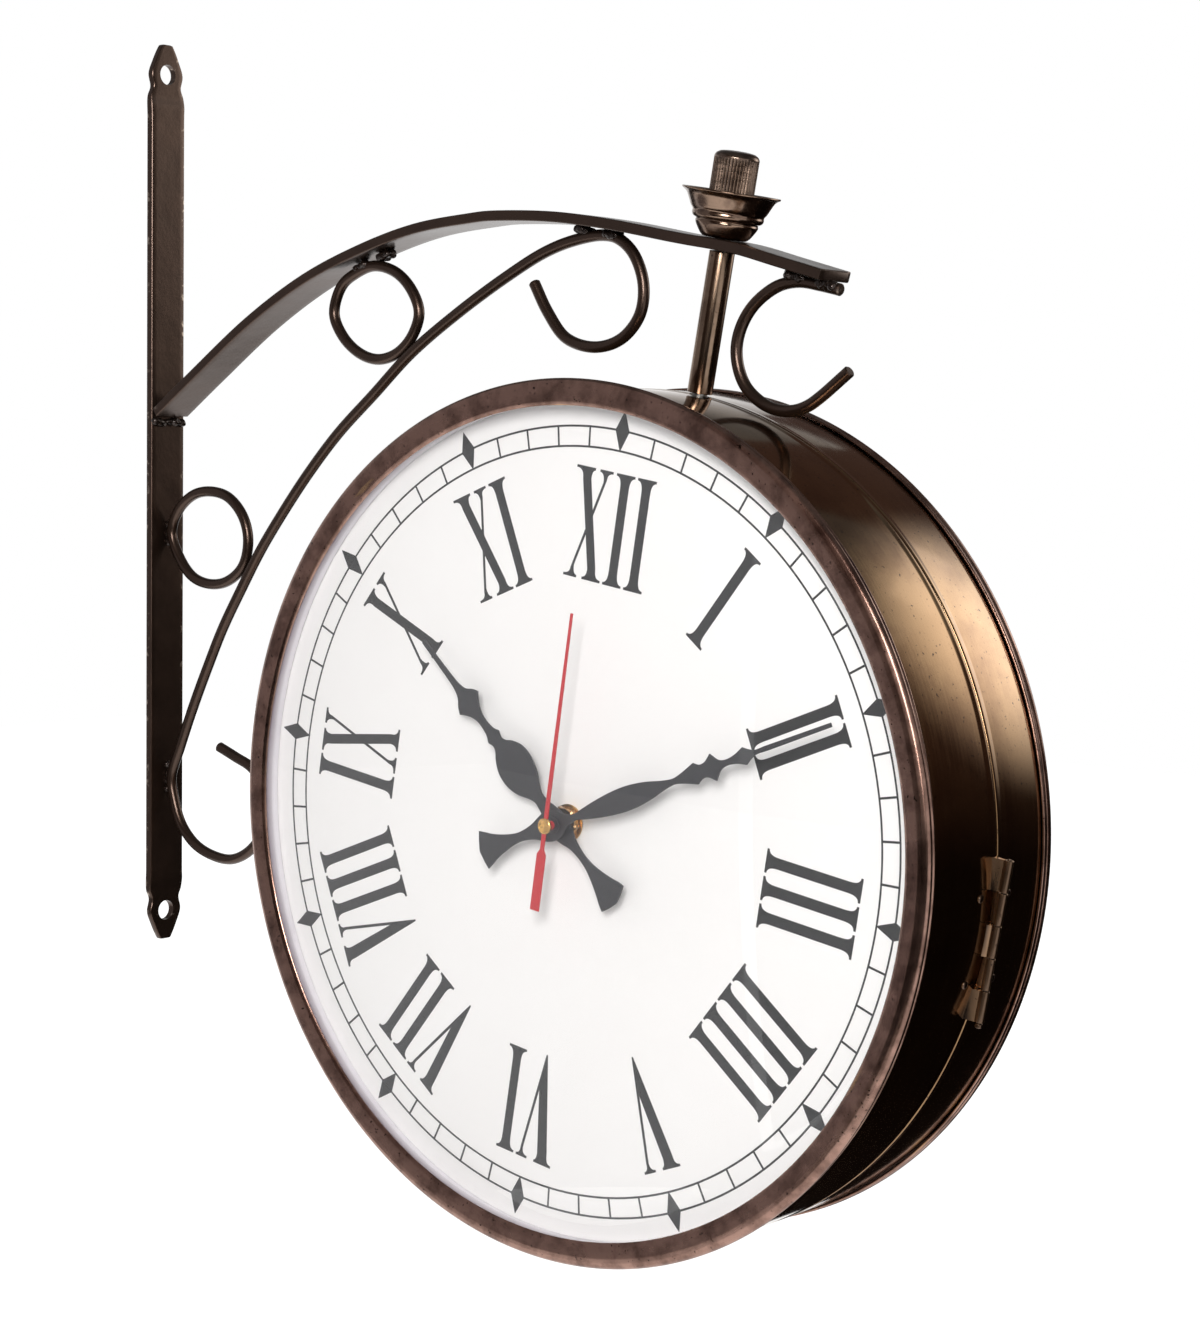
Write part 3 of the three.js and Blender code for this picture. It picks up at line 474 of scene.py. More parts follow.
arch_foot = STRAP_THICKNESS + 0.6
rod_foot = arch_foot - 0.2
BEAD_RADIUS = 1.8
BEAD_LENGTH = 4.5                 # of each short run under the arch
runs = [
    weld_run((arch_foot, -7.5, 32), (arch_foot, 7.5, 32), BEAD_RADIUS, 7),
    weld_run((rod_foot, 0, -19), (rod_foot, 0, -12), BEAD_RADIUS, 3),
    weld_run((rod_foot, 0, -125), (rod_foot, 0, -115), BEAD_RADIUS, 4)]
for reach, behind, ahead in ((SCROLL_REACH, 11, 7), (RING_REACH, 9, 8), (END_HOOK_REACH, 8, 10)):
    for beside in (-1.3, 1.3):
        for start in (reach - behind, reach + ahead - BEAD_LENGTH):
            ends = [
                (STRAP_THICKNESS + out, beside, under_arch(out) + 0.9)
                for out in (start, start + BEAD_LENGTH)]
            runs.append(weld_run(*ends, BEAD_RADIUS, 3))
welds = settle("weld_beads", join(*runs), WALL, weld_scale, crease=60)
melted = welds.modifiers.new("run together", "REMESH")
melted.mode = "VOXEL"
melted.voxel_size = 0.00035
melted.use_smooth_shade = True
settled = welds.modifiers.new("cooled round", "SMOOTH")
settled.factor = 0.5
settled.iterations = 4
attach(welds, "bracket")

# ---------------------------------------------------------------- clamp cup
# Turned brass cup with two steps and a flared rim. It stands on the arch over the stem's hole, and the
# knob in it pulls the stem up tight.


def turned(outline, steps=192, about="Y"):
    """Turn a drawn outline of (radius, distance along the axis) about an axis of its place."""
    rings = []
    for k in range(steps):
        sine, cosine = math.sin(2 * math.pi * k / steps), math.cos(2 * math.pi * k / steps)
        rings.append([
            (radius * sine, along, radius * cosine) if about == "Y"
            else (radius * cosine, radius * sine, along)
            for radius, along in outline])
    return skin(rings, closed=True)


def aged_brass(name, rubbed, browned, grain, patch, gloss, relief):
    """Brass darkened in a bath, rubbed back on a wheel and lacquered. grain is the length of its tool
    marks along X, Y and Z, and patch the size of its clouds, both in millimetres."""
    material, tree, spot = new_material(name)
    along = add(tree, "ShaderNodeMapping", {
        "Vector": spot, "Location": CLOCK.translation, "Rotation": (0, lean, 0),
        "Scale": [length / 1000 for length in grain]}, vector_type="TEXTURE")
    marks = add(tree, "ShaderNodeTexNoise", {"Vector": along.outputs[0], "Scale": 1, "Detail": 4})
    clouds = add(tree, "ShaderNodeTexNoise", {
        "Vector": spot, "Scale": 1000 / patch, "Detail": 7, "Roughness": 0.62})
    fine = add(tree, "ShaderNodeTexNoise", {"Vector": spot, "Scale": 1000 / 1.4, "Detail": 3})
    depth = add(tree, "ShaderNodeMapRange", {
        "Value": clouds.outputs[0], "From Min": 0.36, "From Max": 0.64})
    streaked = add(tree, "ShaderNodeMath", {
        0: marks.outputs[0], 1: 0.45, 2: depth.outputs[0]}, operation="MULTIPLY_ADD", use_clamp=True)
    tone = add(tree, "ShaderNodeMix", {
        0: streaked.outputs[0], 6: linear(browned), 7: linear(rubbed)}, data_type="RGBA")
    edges = add(tree, "ShaderNodeMapRange", {
        "Value": add(tree, "ShaderNodeNewGeometry").outputs["Pointiness"], "From Min": 0.52, "From Max": 0.6})
    bright = add(tree, "ShaderNodeMix", {
        0: edges.outputs[0], 6: tone.outputs[2], 7: linear(0xa98768)}, data_type="RGBA")
    specks = add(tree, "ShaderNodeMapRange", {"Value": fine.outputs[0], "From Min": 0.66, "From Max": 0.72})
    dark = add(tree, "ShaderNodeMix", {
        0: specks.outputs[0], 6: bright.outputs[2], 7: linear(0x2c1d16)}, data_type="RGBA")
    sheen = add(tree, "ShaderNodeMapRange", {
        "Value": marks.outputs[0], "From Min": 0.3, "From Max": 0.7, "To Min": gloss[0], "To Max": gloss[1]})
    height = add(tree, "ShaderNodeMath", {
        0: fine.outputs[0], 1: 0.8, 2: marks.outputs[0]}, operation="MULTIPLY_ADD")
    finish(tree, dark, height, relief, 0.00005, {
        "Metallic": 1.0, "Roughness": sheen.outputs[0], "Coat Weight": 0.2, "Coat Roughness": 0.1})
    return material


# Turned brass, browned and rubbed: rings of tool marks around the stem, dark in the steps.
cup_brass = aged_brass("browned turned brass", 0x87705f, 0x4a3830, (30, 30, 0.7), 9, (0.14, 0.26), 0.25)

CUP_SEAT = ARCH_TOP + AIR
cup_outline = [
    (3.6, 0), (7.8, 0), (8.8, 0.8), (9.8, 2.2), (11, 4.2), (11.4, 5.2), (11, 6), (12.4, 6.6), (13, 7.8),
    (12.7, 9), (13.6, 10), (14.8, 12.6), (15.8, 14.6), (16.9, 15.4), (17.7, 15.9), (17.7, 16.5),
    (16.5, 16.5), (15.1, 15.7), (13.2, 12.4), (11.2, 9.2), (9.6, 7), (9.6, 5), (3.6, 5)]
cup_outline = [(radius, CUP_SEAT + up) for radius, up in soften(cup_outline, 0.8)]
cup = settle("cup_turned", turned(cup_outline, 128, "Z"), CLOCK, cup_brass, crease=40)
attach(cup, "bracket")
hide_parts("clamp_cup")

# ---------------------------------------------------------------- clamp knob
# Solid turned brass nut with a straight knurl and a domed top, screwed on the stem rod by hand.
# The knurl is rubbed bright on its ridges and the dome shows reddish brass.
KNOB_BASE = ARCH_TOP + 5.6
KNOB_RADIUS = 8.1
KNOB_RIBS = 40
RIB_DEPTH = 0.4
KNURL_LOW, KNURL_HIGH = 1.7, 23   # above the knob's base
knob_outline = soften([
    (3.3, 0), (KNOB_RADIUS - 0.8, 0), (KNOB_RADIUS, 0.8), (KNOB_RADIUS, 1.6), (KNOB_RADIUS, 2.2),
    (KNOB_RADIUS, 22.6), (KNOB_RADIUS, 23.2), (7.6, 24.2), (6.2, 25.1), (3.4, 25.5), (0, 25.6)],
    0.7, closed=False)
knob_outline = [(radius, KNOB_BASE + up) for radius, up in knob_outline]
knob_outline += [(0, KNOB_BASE + 21.4), (3.3, KNOB_BASE + 21.4), (3.3, KNOB_BASE)]
smooth_knob = []
for (radius, up), (_, next_up) in zip(knob_outline, knob_outline[1:]):
    smooth_knob.append((radius, up))
    if next_up - up > 6 and radius > KNOB_RADIUS - 0.5:
        smooth_knob += [(radius, up + (next_up - up) * k / 12) for k in range(1, 12)]
smooth_knob.append(knob_outline[-1])
knob_shape = turned(smooth_knob, KNOB_RIBS * 8, "Z")
for vert in knob_shape.verts:
    up = vert.co.z - KNOB_BASE
    radius = math.hypot(vert.co.x, vert.co.y)
    if radius > KNOB_RADIUS - 0.9 and KNURL_LOW < up < KNURL_HIGH:
        angle = math.atan2(vert.co.y, vert.co.x)
        fade = min(1, (up - KNURL_LOW) / 0.8, (KNURL_HIGH - up) / 0.8)
        dip = RIB_DEPTH * fade * abs(math.cos(angle * KNOB_RIBS / 2)) ** 3
        vert.co.x *= 1 - dip / radius
        vert.co.y *= 1 - dip / radius
knob_brass = aged_brass("knurled brass", 0x7d6a5d, 0x40322c, (40, 40, 1.2), 6, (0.2, 0.38), 0.3)
knob = settle("knob_knurled", knob_shape, CLOCK, knob_brass, crease=50)
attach(knob, "knob")
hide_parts("clamp_knob")

# ---------------------------------------------------------------- stem
# Drawn brass tube, polished and lacquered, a loose spacer between the arch and the case. A zinc plated
# threaded rod runs through it, with a hanger plate and a nut on its lower end inside the case.
stem_brass = aged_brass("polished stem brass", 0x836f5f, 0x4f3d31, (3, 3, 60), 14, (0.14, 0.24), 0.15)
STEM_FOOT, STEM_HEAD = 156.9, 207.7
TUBE_RADIUS, TUBE_BORE = 4.6, 3.3
tube_outline = soften([
    (TUBE_BORE, STEM_FOOT), (TUBE_RADIUS, STEM_FOOT), (TUBE_RADIUS, STEM_HEAD), (TUBE_BORE, STEM_HEAD)], 0.4)
tube = settle("stem_tube_drawn", turned(tube_outline, 64, "Z"), CLOCK, stem_brass)
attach(tube, "clock")
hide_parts("stem_tube")

# Zinc plating over turned steel: cool grey, dull from handling, with cloudy spangle.
zinc_plate, tree, _, spangle, tone = mottled("zinc plated steel", 2.5, (0x80807e, 0xb0b0ac), 5, 0.7)
sheen = add(tree, "ShaderNodeMapRange", {"Value": spangle.outputs[0], "To Min": 0.25, "To Max": 0.48})
finish(tree, tone, spangle, 0.2, 0.00005, {"Metallic": 1.0, "Roughness": sheen.outputs[0]})


def threaded(radius, low, high, pitch):
    """Outline of a screw thread as stacked rings, which at this size look the same as a helix."""
    outline = [(0, low), (radius - 0.5, low)]
    for k in range(int((high - low) / pitch)):
        outline += [(radius, low + pitch * (k + 0.5)), (radius - 0.42, low + pitch * (k + 1))]
    return [*outline, (radius - 0.5, high), (0, high)]


thread = threaded(3, 143.2, 239.0, 1)
rod = settle("stem_rod_threaded", turned(thread, 32, "Z"), CLOCK, zinc_plate, crease=80)
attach(rod, "clock")
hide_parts("stem_rod")
frame["nodes"]["hanger_plate"].data.materials[0] = zinc_plate
softened = frame["nodes"]["hanger_plate"].modifiers.new("eased edges", "BEVEL")
softened.width = 0.0004
softened.segments = 2
softened.limit_method = "ANGLE"


def hex_nut(across_corners, bore, low, high, about):
    """Hexagon nut with both faces chamfered, along the axis from low to high."""
    flat = across_corners * math.cos(math.pi / 6)
    chamfer = (across_corners - flat) * 0.58
    levels = [
        (flat, low), (across_corners, low + chamfer), (across_corners, high - chamfer), (flat, high),
        (bore, high), (bore, low)]
    rings = []
    for k in range(96):
        angle = 2 * math.pi * k / 96
        edge = flat / math.cos((angle + math.pi / 6) % (math.pi / 3) - math.pi / 6)
        ring = [(min(radius, edge) if radius > bore else radius, along) for radius, along in levels]
        sine, cosine = math.sin(angle), math.cos(angle)
        rings.append([
            (radius * sine, along, radius * cosine) if about == "Y"
            else (radius * cosine, radius * sine, along)
            for radius, along in ring])
    return skin(rings, closed=True)


nut = settle("stem_nut_hex", hex_nut(5.8, 3.3, 146.2, 151.2, "Z"), CLOCK, zinc_plate, crease=20)
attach(nut, "clock")
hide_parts("stem_nut")

# ---------------------------------------------------------------- half cases
# Two half drums of thin brass sheet, spun, with a low bead at the seam and a flange inside that carries
# the dial. Browned, brushed around the drum on a lathe, and lacquered.
FRONT = CLOCK @ Matrix.Translation((0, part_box("front_dial")[0].y, 0))
REAR = CLOCK @ Matrix.Translation((0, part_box("rear_dial")[1].y, 0)) @ Matrix.Rotation(math.pi, 4, "Z")
FACES = (("front", FRONT, "front_half", 35.65), ("rear", REAR, "clock", 24.7))
DRUM_RADIUS, DRUM_INSIDE, FLANGE_INSIDE = 156, 154.8, 147
case_brass = aged_brass("brushed case brass", 0x957756, 0x6f5138, (60, 0.9, 60), 40, (0.08, 0.15), 0.08)
for side, place, body, seam in FACES:
    edge = seam - 0.2
    outline = [
        (DRUM_RADIUS, -8.5), (DRUM_RADIUS, edge - 3.4), (156.12, edge - 2.4), (156.24, edge - 1.6),
        (156.28, edge - 0.9), (156.2, edge - 0.3), (155.9, edge), (DRUM_INSIDE, edge), (DRUM_INSIDE, 2.5),
        (FLANGE_INSIDE, 2.5), (FLANGE_INSIDE, 1.3), (DRUM_INSIDE, 1.3), (DRUM_INSIDE, -8.5)]
    drum = settle(f"{side}_drum_spun", turned(soften(outline, 0.35), 256), place, case_brass)
    notch = [[(x, y, z) for x, y in circle(STEM_HOLE_RADIUS, 32, 0, seam)] for z in (146, 166)]
    cut(drum, skin(notch), place)
    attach(drum, body)
    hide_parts(f"{side}_drum")

# ---------------------------------------------------------------- bezels
# Spun brass ring pushed over each drum: in front a fat bead, a groove and a thin second bead, at the rear
# low and almost flush. Rubbed through to red and tan brass in places, with small dark specks.
bezel_brass = aged_brass("rubbed bezel brass", 0x97776a, 0x533b32, (50, 3, 50), 11, (0.18, 0.34), 0.5)
BEZEL_BEADS = {
    "front": [
        (157.3, -4.3), (158.0, -4.7), (158.2, -5.2), (157.9, -5.8), (157.6, -6.2), (158.1, -6.7),
        (158.7, -7.3), (158.8, -8.0), (158.5, -8.8), (157.8, -9.5), (156.4, -10.0)],
    "rear": [
        (156.9, -4.3), (157.2, -4.9), (157.05, -5.6), (156.8, -6.2), (157.1, -6.7), (157.3, -7.4),
        (157.3, -8.2), (157.0, -9.0), (156.2, -9.7)]}
for side, place, body, _ in FACES:
    outline = [
        (156.3, -4.3), *BEZEL_BEADS[side], (154.6, -10.2), (152.4, -10.1), (150.6, -9.8), (149.5, -9.3),
        (149.0, -8.8), (156.3, -8.8)]
    bezel = settle(f"{side}_bezel_spun", turned(soften(outline, 0.35), 256), place, bezel_brass)
    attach(bezel, body)
    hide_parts(f"{side}_bezel")

# ---------------------------------------------------------------- glasses
# Two millimetre clock glass, sagged to a shallow dome over a mould and held in the bezel by its flat rim.
# It throws back a faint grey veil of the room, and lets the lamps through to the dial.
clock_glass, tree, spot = new_material("domed clock glass")
wipe_marks = add(tree, "ShaderNodeTexNoise", {"Vector": spot, "Scale": 1000 / 35, "Detail": 4})
haze = add(tree, "ShaderNodeMapRange", {"Value": wipe_marks.outputs[0], "To Min": 0.0, "To Max": 0.012})
shader = add(tree, "ShaderNodeBsdfPrincipled", {
    "Base Color": (1, 1, 1, 1), "Roughness": haze.outputs[0], "IOR": 1.45, "Transmission Weight": 1.0})
light_path = add(tree, "ShaderNodeLightPath")
lets_through = add(tree, "ShaderNodeMath", {
    0: light_path.outputs["Is Shadow Ray"], 1: light_path.outputs["Is Diffuse Ray"]}, operation="MAXIMUM")
clear = add(tree, "ShaderNodeBsdfTransparent", {"Color": (0.975, 0.97, 0.97, 1)})
mixed = add(tree, "ShaderNodeMixShader", {
    0: lets_through.outputs[0], 1: shader.outputs[0], 2: clear.outputs[0]})
add(tree, "ShaderNodeOutputMaterial", {"Surface": mixed.outputs[0]})
DOME_RADIUS, DOME_RISE, GLASS_THICKNESS = 148.7, 10, 2
for side, place, body, _ in FACES:
    outer = [(DOME_RADIUS * k / 16, -8.5 - DOME_RISE * (1 - (k / 16) ** 2)) for k in range(17)]
    inner = [(radius, along + GLASS_THICKNESS) for radius, along in outer]
    outline = [
        *outer, (149.6, -8.5), (154.3, -8.5), (154.5, -8.3), (154.5, -6.7), (154.3, -6.5), (149.6, -6.5)]
    glass = settle(f"{side}_glass_domed", turned([*outline, *reversed(inner)], 192), place, clock_glass)
    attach(glass, body)
    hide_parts(f"{side}_glass")

# ---------------------------------------------------------------- white walls
# Strip of white enamelled sheet rolled to a ring, which keeps the glass off the dial. Its colour is
# darkened to grey-violet toward the glass as painted shade, where the bezel and glass shade it.
wall_enamel, tree, spot, clouds, tone = mottled("white wall enamel", 15, (0xd2ced3, 0xe0dde1), 4)
across = add(tree, "ShaderNodeSeparateXYZ", {"Vector": spot})
from_middle = add(tree, "ShaderNodeMath", {0: across.outputs["Y"], 1: 0.00548}, operation="ADD")
depth = add(tree, "ShaderNodeMapRange", {
    "Value": add(tree, "ShaderNodeMath", {0: from_middle.outputs[0]}, operation="ABSOLUTE").outputs[0],
    "From Min": 0.0325, "From Max": 0.0362})
# painted shade: the wall turns grey-violet toward the glass, where the bezel and glass shade it
shaded_toward_glass = add(tree, "ShaderNodeMix", {
    0: depth.outputs[0], 6: tone.outputs[2], 7: linear(0x8f848d)}, data_type="RGBA")
finish(tree, shaded_toward_glass, clouds, 0.1, 0.0001, {"Roughness": 0.35})
for side, place, body, _ in FACES:
    outline = soften([(150.4, -6.2), (152.4, -6.2), (152.4, -0.3), (150.4, -0.3)], 0.25)
    wall = settle(f"{side}_white_wall", turned(outline, 224), place, wall_enamel)
    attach(wall, body)
    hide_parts(f"{side}_rehaut")

# ---------------------------------------------------------------- dials
# One millimetre sheet, sprayed off white and screen printed in black: a minute track with a diamond at
# each hour, and Roman numerals whose feet stand toward the middle.
dial_paint, tree, spot, _, tone = mottled("off white dial paint", 60, (0xf4f2f0, 0xf9f8f6), 4)
grain = add(tree, "ShaderNodeTexNoise", {"Vector": spot, "Scale": 1000 / 0.8, "Detail": 3})
finish(tree, tone, grain, 0.08, 0.00005, {"Roughness": 0.55})

# Screen ink: thin, dense black with the slight greyness of a dry pigment.
dial_ink, tree, _, grain, tone = mottled("black screen ink", 0.6, (0x0a0a0c, 0x151518), 3)
shader = add(tree, "ShaderNodeBsdfPrincipled", {"Base Color": tone.outputs[2], "Roughness": 0.5})
add(tree, "ShaderNodeOutputMaterial", {"Surface": shader.outputs[0]})

NUMERAL_FEET = 87.3
NUMERAL_HEIGHT = 39.8
SERIF = 0.9
LETTER_GAP = 1.25
TRACK_INSIDE, TRACK_OUTSIDE = 134.8, 142
PRINT_TURN = math.radians(-1.2)   # how far the dial was turned when it was screwed in


def bracketed(corner, stroke, steps=6):
    """The hollow curve that leads a serif's end into its stroke."""
    corner, stroke = Vector(corner), Vector(stroke)
    heel = Vector((stroke.x, corner.y))
    return [
        corner * (1 - t) ** 2 + heel * (2 * t * (1 - t)) + stroke * t**2
        for t in (k / steps for k in range(steps + 1))]


def letter_i():
    """Width of the letter and its outlines, as for each letter below."""
    top = NUMERAL_HEIGHT
    return 8.45, [[
        (0, 0), (8.45, 0), *bracketed((8.45, SERIF), (6.18, 5.2)),
        *reversed(bracketed((8.45, top - SERIF), (6.18, top - 5.2))), (8.45, top), (0, top),
        *bracketed((0, top - SERIF), (2.27, top - 5.2)), *reversed(bracketed((0, SERIF), (2.27, 5.2)))]]


def letter_v():
    top = NUMERAL_HEIGHT
    return 16.9, [[
        (0, top), (0, top - SERIF), *bracketed((0.1, top - SERIF), (2.4, top - 4.6))[1:],
        (8.1, -1.1), (8.7, -1.1),
        (14.95, top - 4), *reversed(bracketed((16.9, top - SERIF), (15.0, top - 3.4))), (16.9, top),
        (11.6, top), *bracketed((11.6, top - SERIF), (13.9, top - 3.6)), (9.95, 12.7),
        (7.0, top - 4.6), *reversed(bracketed((8.2, top - SERIF), (6.9, top - 4.0))), (8.2, top)]]


def letter_x():
    top = NUMERAL_HEIGHT

    def thick(x_top, x_bottom, height):
        return (x_bottom + (x_top - x_bottom) * height / top, height)

    left, right = (2.3, 11.8), (6.2, 15.6)
    thin_left, thin_right = (14.25, 2.05), (15.35, 3.15)

    def crossing(one, other):
        share = (one[1] - other[1]) / ((other[0] - other[1]) - (one[0] - one[1]))
        return thick(*one, share * top)

    heavy = [
        (0, top), *bracketed((0, top - SERIF), thick(*left, top - 4.6)),
        *reversed(bracketed((8.7, SERIF), thick(*left, 4.0))), (8.7, 0), (17.2, 0),
        *bracketed((17.2, SERIF), thick(*right, 4.6)),
        *reversed(bracketed((8.7, top - SERIF), thick(*right, top - 4.0))), (8.7, top)]
    upper = [
        crossing(thin_left, right), crossing(thin_right, right), thick(*thin_right, top - 4),
        *reversed(bracketed((16.9, top - SERIF), thick(*thin_right, top - 3.4))), (16.9, top), (10.8, top),
        *bracketed((10.8, top - SERIF), thick(*thin_left, top - 4.4))]
    lower = [
        crossing(thin_right, left), crossing(thin_left, left), thick(*thin_left, 4),
        *reversed(bracketed((0.1, SERIF), thick(*thin_left, 3.4))), (0.1, 0), (6.2, 0),
        *bracketed((6.2, SERIF), thick(*thin_right, 4.4))]
    return 17.2, [heavy, upper, lower]


def printed(shape, corners, height):
    """Lay one flat figure, given as (across, up) on the dial, on its paint as a thin film of ink."""
    base = shape.faces.new([shape.verts.new((x, 0, z)) for x, z in corners])
    lifted = bmesh.ops.extrude_face_region(shape, geom=[base])["geom"]
    bmesh.ops.translate(
        shape, vec=(0, -height, 0), verts=[item for item in lifted if isinstance(item, bmesh.types.BMVert)])


def on_dial(angle, across, out):
    """A spot at one angle past the hour twelve, a step across that direction and a distance out."""
    angle += PRINT_TURN
    return (
        across * math.cos(angle) + out * math.sin(angle), -across * math.sin(angle) + out * math.cos(angle))


def dial_print():
    """Numerals, diamonds and minute track of one dial."""
    shape = bmesh.new()
    letters = {"I": letter_i(), "V": letter_v(), "X": letter_x()}
    for hour, word in enumerate(("XII", "I", "II", "III", "IIII", "V", "VI", "VII", "VIII", "IX", "X", "XI")):
        angle = 2 * math.pi * hour / 12
        across = -(sum(letters[letter][0] for letter in word) + LETTER_GAP * (len(word) - 1)) / 2
        for letter in word:
            width, figures = letters[letter]
            for figure in figures:
                printed(shape, [on_dial(angle, across + x, NUMERAL_FEET + up) for x, up in figure], 0.05)
            across += width + LETTER_GAP
        printed(shape, [
            on_dial(angle, 0, 134.5), on_dial(angle, 3.2, TRACK_OUTSIDE), on_dial(angle, 0, 149.2),
            on_dial(angle, -3.2, TRACK_OUTSIDE)], 0.07)
    for minute in range(60):
        if minute % 5:
            angle = 2 * math.pi * minute / 60
            printed(shape, [
                on_dial(angle, -0.4, TRACK_INSIDE), on_dial(angle, 0.4, TRACK_INSIDE),
                on_dial(angle, 0.4, TRACK_OUTSIDE), on_dial(angle, -0.4, TRACK_OUTSIDE)], 0.06)
    rings = [
        turned([(radius - 0.37, 0), (radius + 0.37, 0), (radius + 0.37, -0.05), (radius - 0.37, -0.05)], 240)
        for radius in (TRACK_INSIDE, TRACK_OUTSIDE)]
    return join(shape, *rings)


for side, place, body, _ in FACES:
    outline = soften([(4.2, 0), (154.5, 0), (154.5, 1), (4.2, 1)], 0.15)
    dial = settle(f"{side}_dial_sheet", turned(outline, 192), place, dial_paint)
    print_film = settle(f"{side}_dial_print", dial_print(), place, dial_ink, crease=20)
    for piece in (dial, print_film):
        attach(piece, body)
    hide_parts(f"{side}_dial")

# ---------------------------------------------------------------- movements
# Boxed quartz movement behind each dial: moulded black case with a cell bay, a set wheel at the back and
# a threaded brass bush that comes through the dial.
movement_plastic, tree, _, grain, tone = mottled("black moulded plastic", 0.5, (0x17181a, 0x26272a), 3)
sheen = add(tree, "ShaderNodeMapRange", {"Value": grain.outputs[0], "To Min": 0.42, "To Max": 0.6})
finish(tree, tone, grain, 0.25, 0.00005, {"Roughness": sheen.outputs[0]})

# Turned brass, bare and bright: fine rings of tool marks and a little tarnish.
bright_brass = aged_brass("bright turned brass", 0xd2a45c, 0x9a7440, (20, 20, 20), 4, (0.16, 0.3), 0.2)
# Printed sleeve shrunk on the dry cell: green and smooth, with a soft gloss.
cell_sleeve, tree, _, _, tone = mottled("green cell sleeve", 8, (0x2c5a43, 0x3d6f56), 3)
shader = add(tree, "ShaderNodeBsdfPrincipled", {
    "Base Color": tone.outputs[2], "Roughness": 0.3, "Coat Weight": 0.4, "Coat Roughness": 0.08})
add(tree, "ShaderNodeOutputMaterial", {"Surface": shader.outputs[0]})

MOVEMENT_HALF = 28
MOVEMENT_FRONT = 1.3
MOVEMENT_BACK = 17.3
CELL_DEPTH = 9.2
CELL_HEIGHT = -18
BAY_HALF, BAY_RADIUS = 25.7, 7.4
SET_WHEEL_ACROSS, SET_WHEEL_UP = 14, 10


def slab(across, up, low, high, fillet=0.6):
    """Block with eased edges: its half sizes across and up, and its reach along the face's axis."""
    rings = []
    for along, inset in ((low, 0.5), (low + 0.5, 0), (high - 0.5, 0), (high, 0.5)):
        corners = [
            (-across + inset, -up + inset), (across - inset, -up + inset), (across - inset, up - inset),
            (-across + inset, up - inset)]
        rings.append([(x, along, z) for x, z in soften(corners, fillet)])
    return skin(rings)


def along_x(outline, steps):
    """Turn an outline of (radius, distance) about X."""
    shape = turned(outline, steps, "Z")
    bmesh.ops.rotate(shape, matrix=Matrix.Rotation(math.pi / 2, 3, "Y"), verts=shape.verts)
    return shape


for side, place, body, _ in FACES:
    box = slab(MOVEMENT_HALF, MOVEMENT_HALF, MOVEMENT_FRONT, MOVEMENT_BACK, 2.5)
    movement = settle(f"{side}_movement_box", box, place, movement_plastic)
    bay = along_x([(0, -BAY_HALF), (BAY_RADIUS, -BAY_HALF), (BAY_RADIUS, BAY_HALF), (0, BAY_HALF)], 48)
    cut(movement, shift(bay, 0, CELL_DEPTH, CELL_HEIGHT), place)
    mouth = slab(BAY_HALF, BAY_RADIUS, CELL_DEPTH, MOVEMENT_BACK + 2, 0.2)
    cut(movement, shift(mouth, 0, 0, CELL_HEIGHT), place)
    wheel_well = turned([(0, 12.3), (1.9, 12.3), (1.9, 20), (0, 20)], 24)
    cut(movement, shift(wheel_well, SET_WHEEL_ACROSS, 0, SET_WHEEL_UP), place)
    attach(movement, body)
    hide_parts(f"{side}_movement")

    thread = [(radius, -along) for radius, along in threaded(3.9, -1.3, 4.8, 0.75)]
    bush = settle(f"{side}_bush_threaded", turned(thread, 48), place, bright_brass, crease=80)
    pipe_bore = turned([(0, -6), (2.2, -6), (2.2, 0.8), (0, 0.8)], 32)
    cut(bush, pipe_bore, place, crease=80)
    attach(bush, body)

    washer_outline = soften([(4.2, -0.9), (6.8, -0.9), (6.8, -0.3), (4.2, -0.3)], 0.15)
    washer = settle(f"{side}_washer_turned", turned(washer_outline, 64), place, bright_brass)
    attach(washer, body)
    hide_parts(f"{side}_bush_washer")
    nut_shape = hex_nut(6.4, 4.2, -3.8, -1.2, "Y")
    hex_piece = settle(f"{side}_nut_hex", nut_shape, place, bright_brass, crease=20)
    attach(hex_piece, body)
    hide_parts(f"{side}_bush_nut")

    dry_cell = along_x(soften([
        (0, -25), (4.6, -25), (4.9, -24.4), (6.9, -24.4), (7.1, -24), (7.1, 22.8), (6.8, 23.4), (3.4, 23.4),
        (2.7, 23.7), (2.7, 24.8), (2.4, 25), (0, 25)], 0.2, closed=False), 64)
    shift(dry_cell, 0, CELL_DEPTH, CELL_HEIGHT)
    for face in dry_cell.faces:
        if abs(face.calc_center_median().x) > 23.1:
            face.material_index = 1
    dry_cell = settle(f"{side}_cell_dry", dry_cell, place, cell_sleeve)
    dry_cell.data.materials.append(zinc_plate)
    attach(dry_cell, body)
    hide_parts(f"{side}_cell")

    wheel = turned(soften([
        (0, 12.7), (1.6, 12.7), (1.6, 17.6), (6.4, 17.6), (7, 18.1), (7, 19.6), (6.4, 20.1), (3.2, 20.1),
        (2.6, 19.5), (0, 19.5)], 0.25, closed=False), 144)
    for vert in wheel.verts:
        radius = math.hypot(vert.co.x, vert.co.z)
        if radius > 6.6:
            dip = 0.3 * abs(math.cos(math.atan2(vert.co.z, vert.co.x) * 12)) ** 4
            vert.co.x *= 1 - dip / radius
            vert.co.z *= 1 - dip / radius
    wheel_place = place @ Matrix.Translation((SET_WHEEL_ACROSS / 1000, 0, SET_WHEEL_UP / 1000))
    wheel = settle(f"{side}_set_wheel_ribbed", wheel, wheel_place, movement_plastic, crease=40)
    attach(wheel, f"{side}_wheel")
    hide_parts(f"{side}_set_wheel")

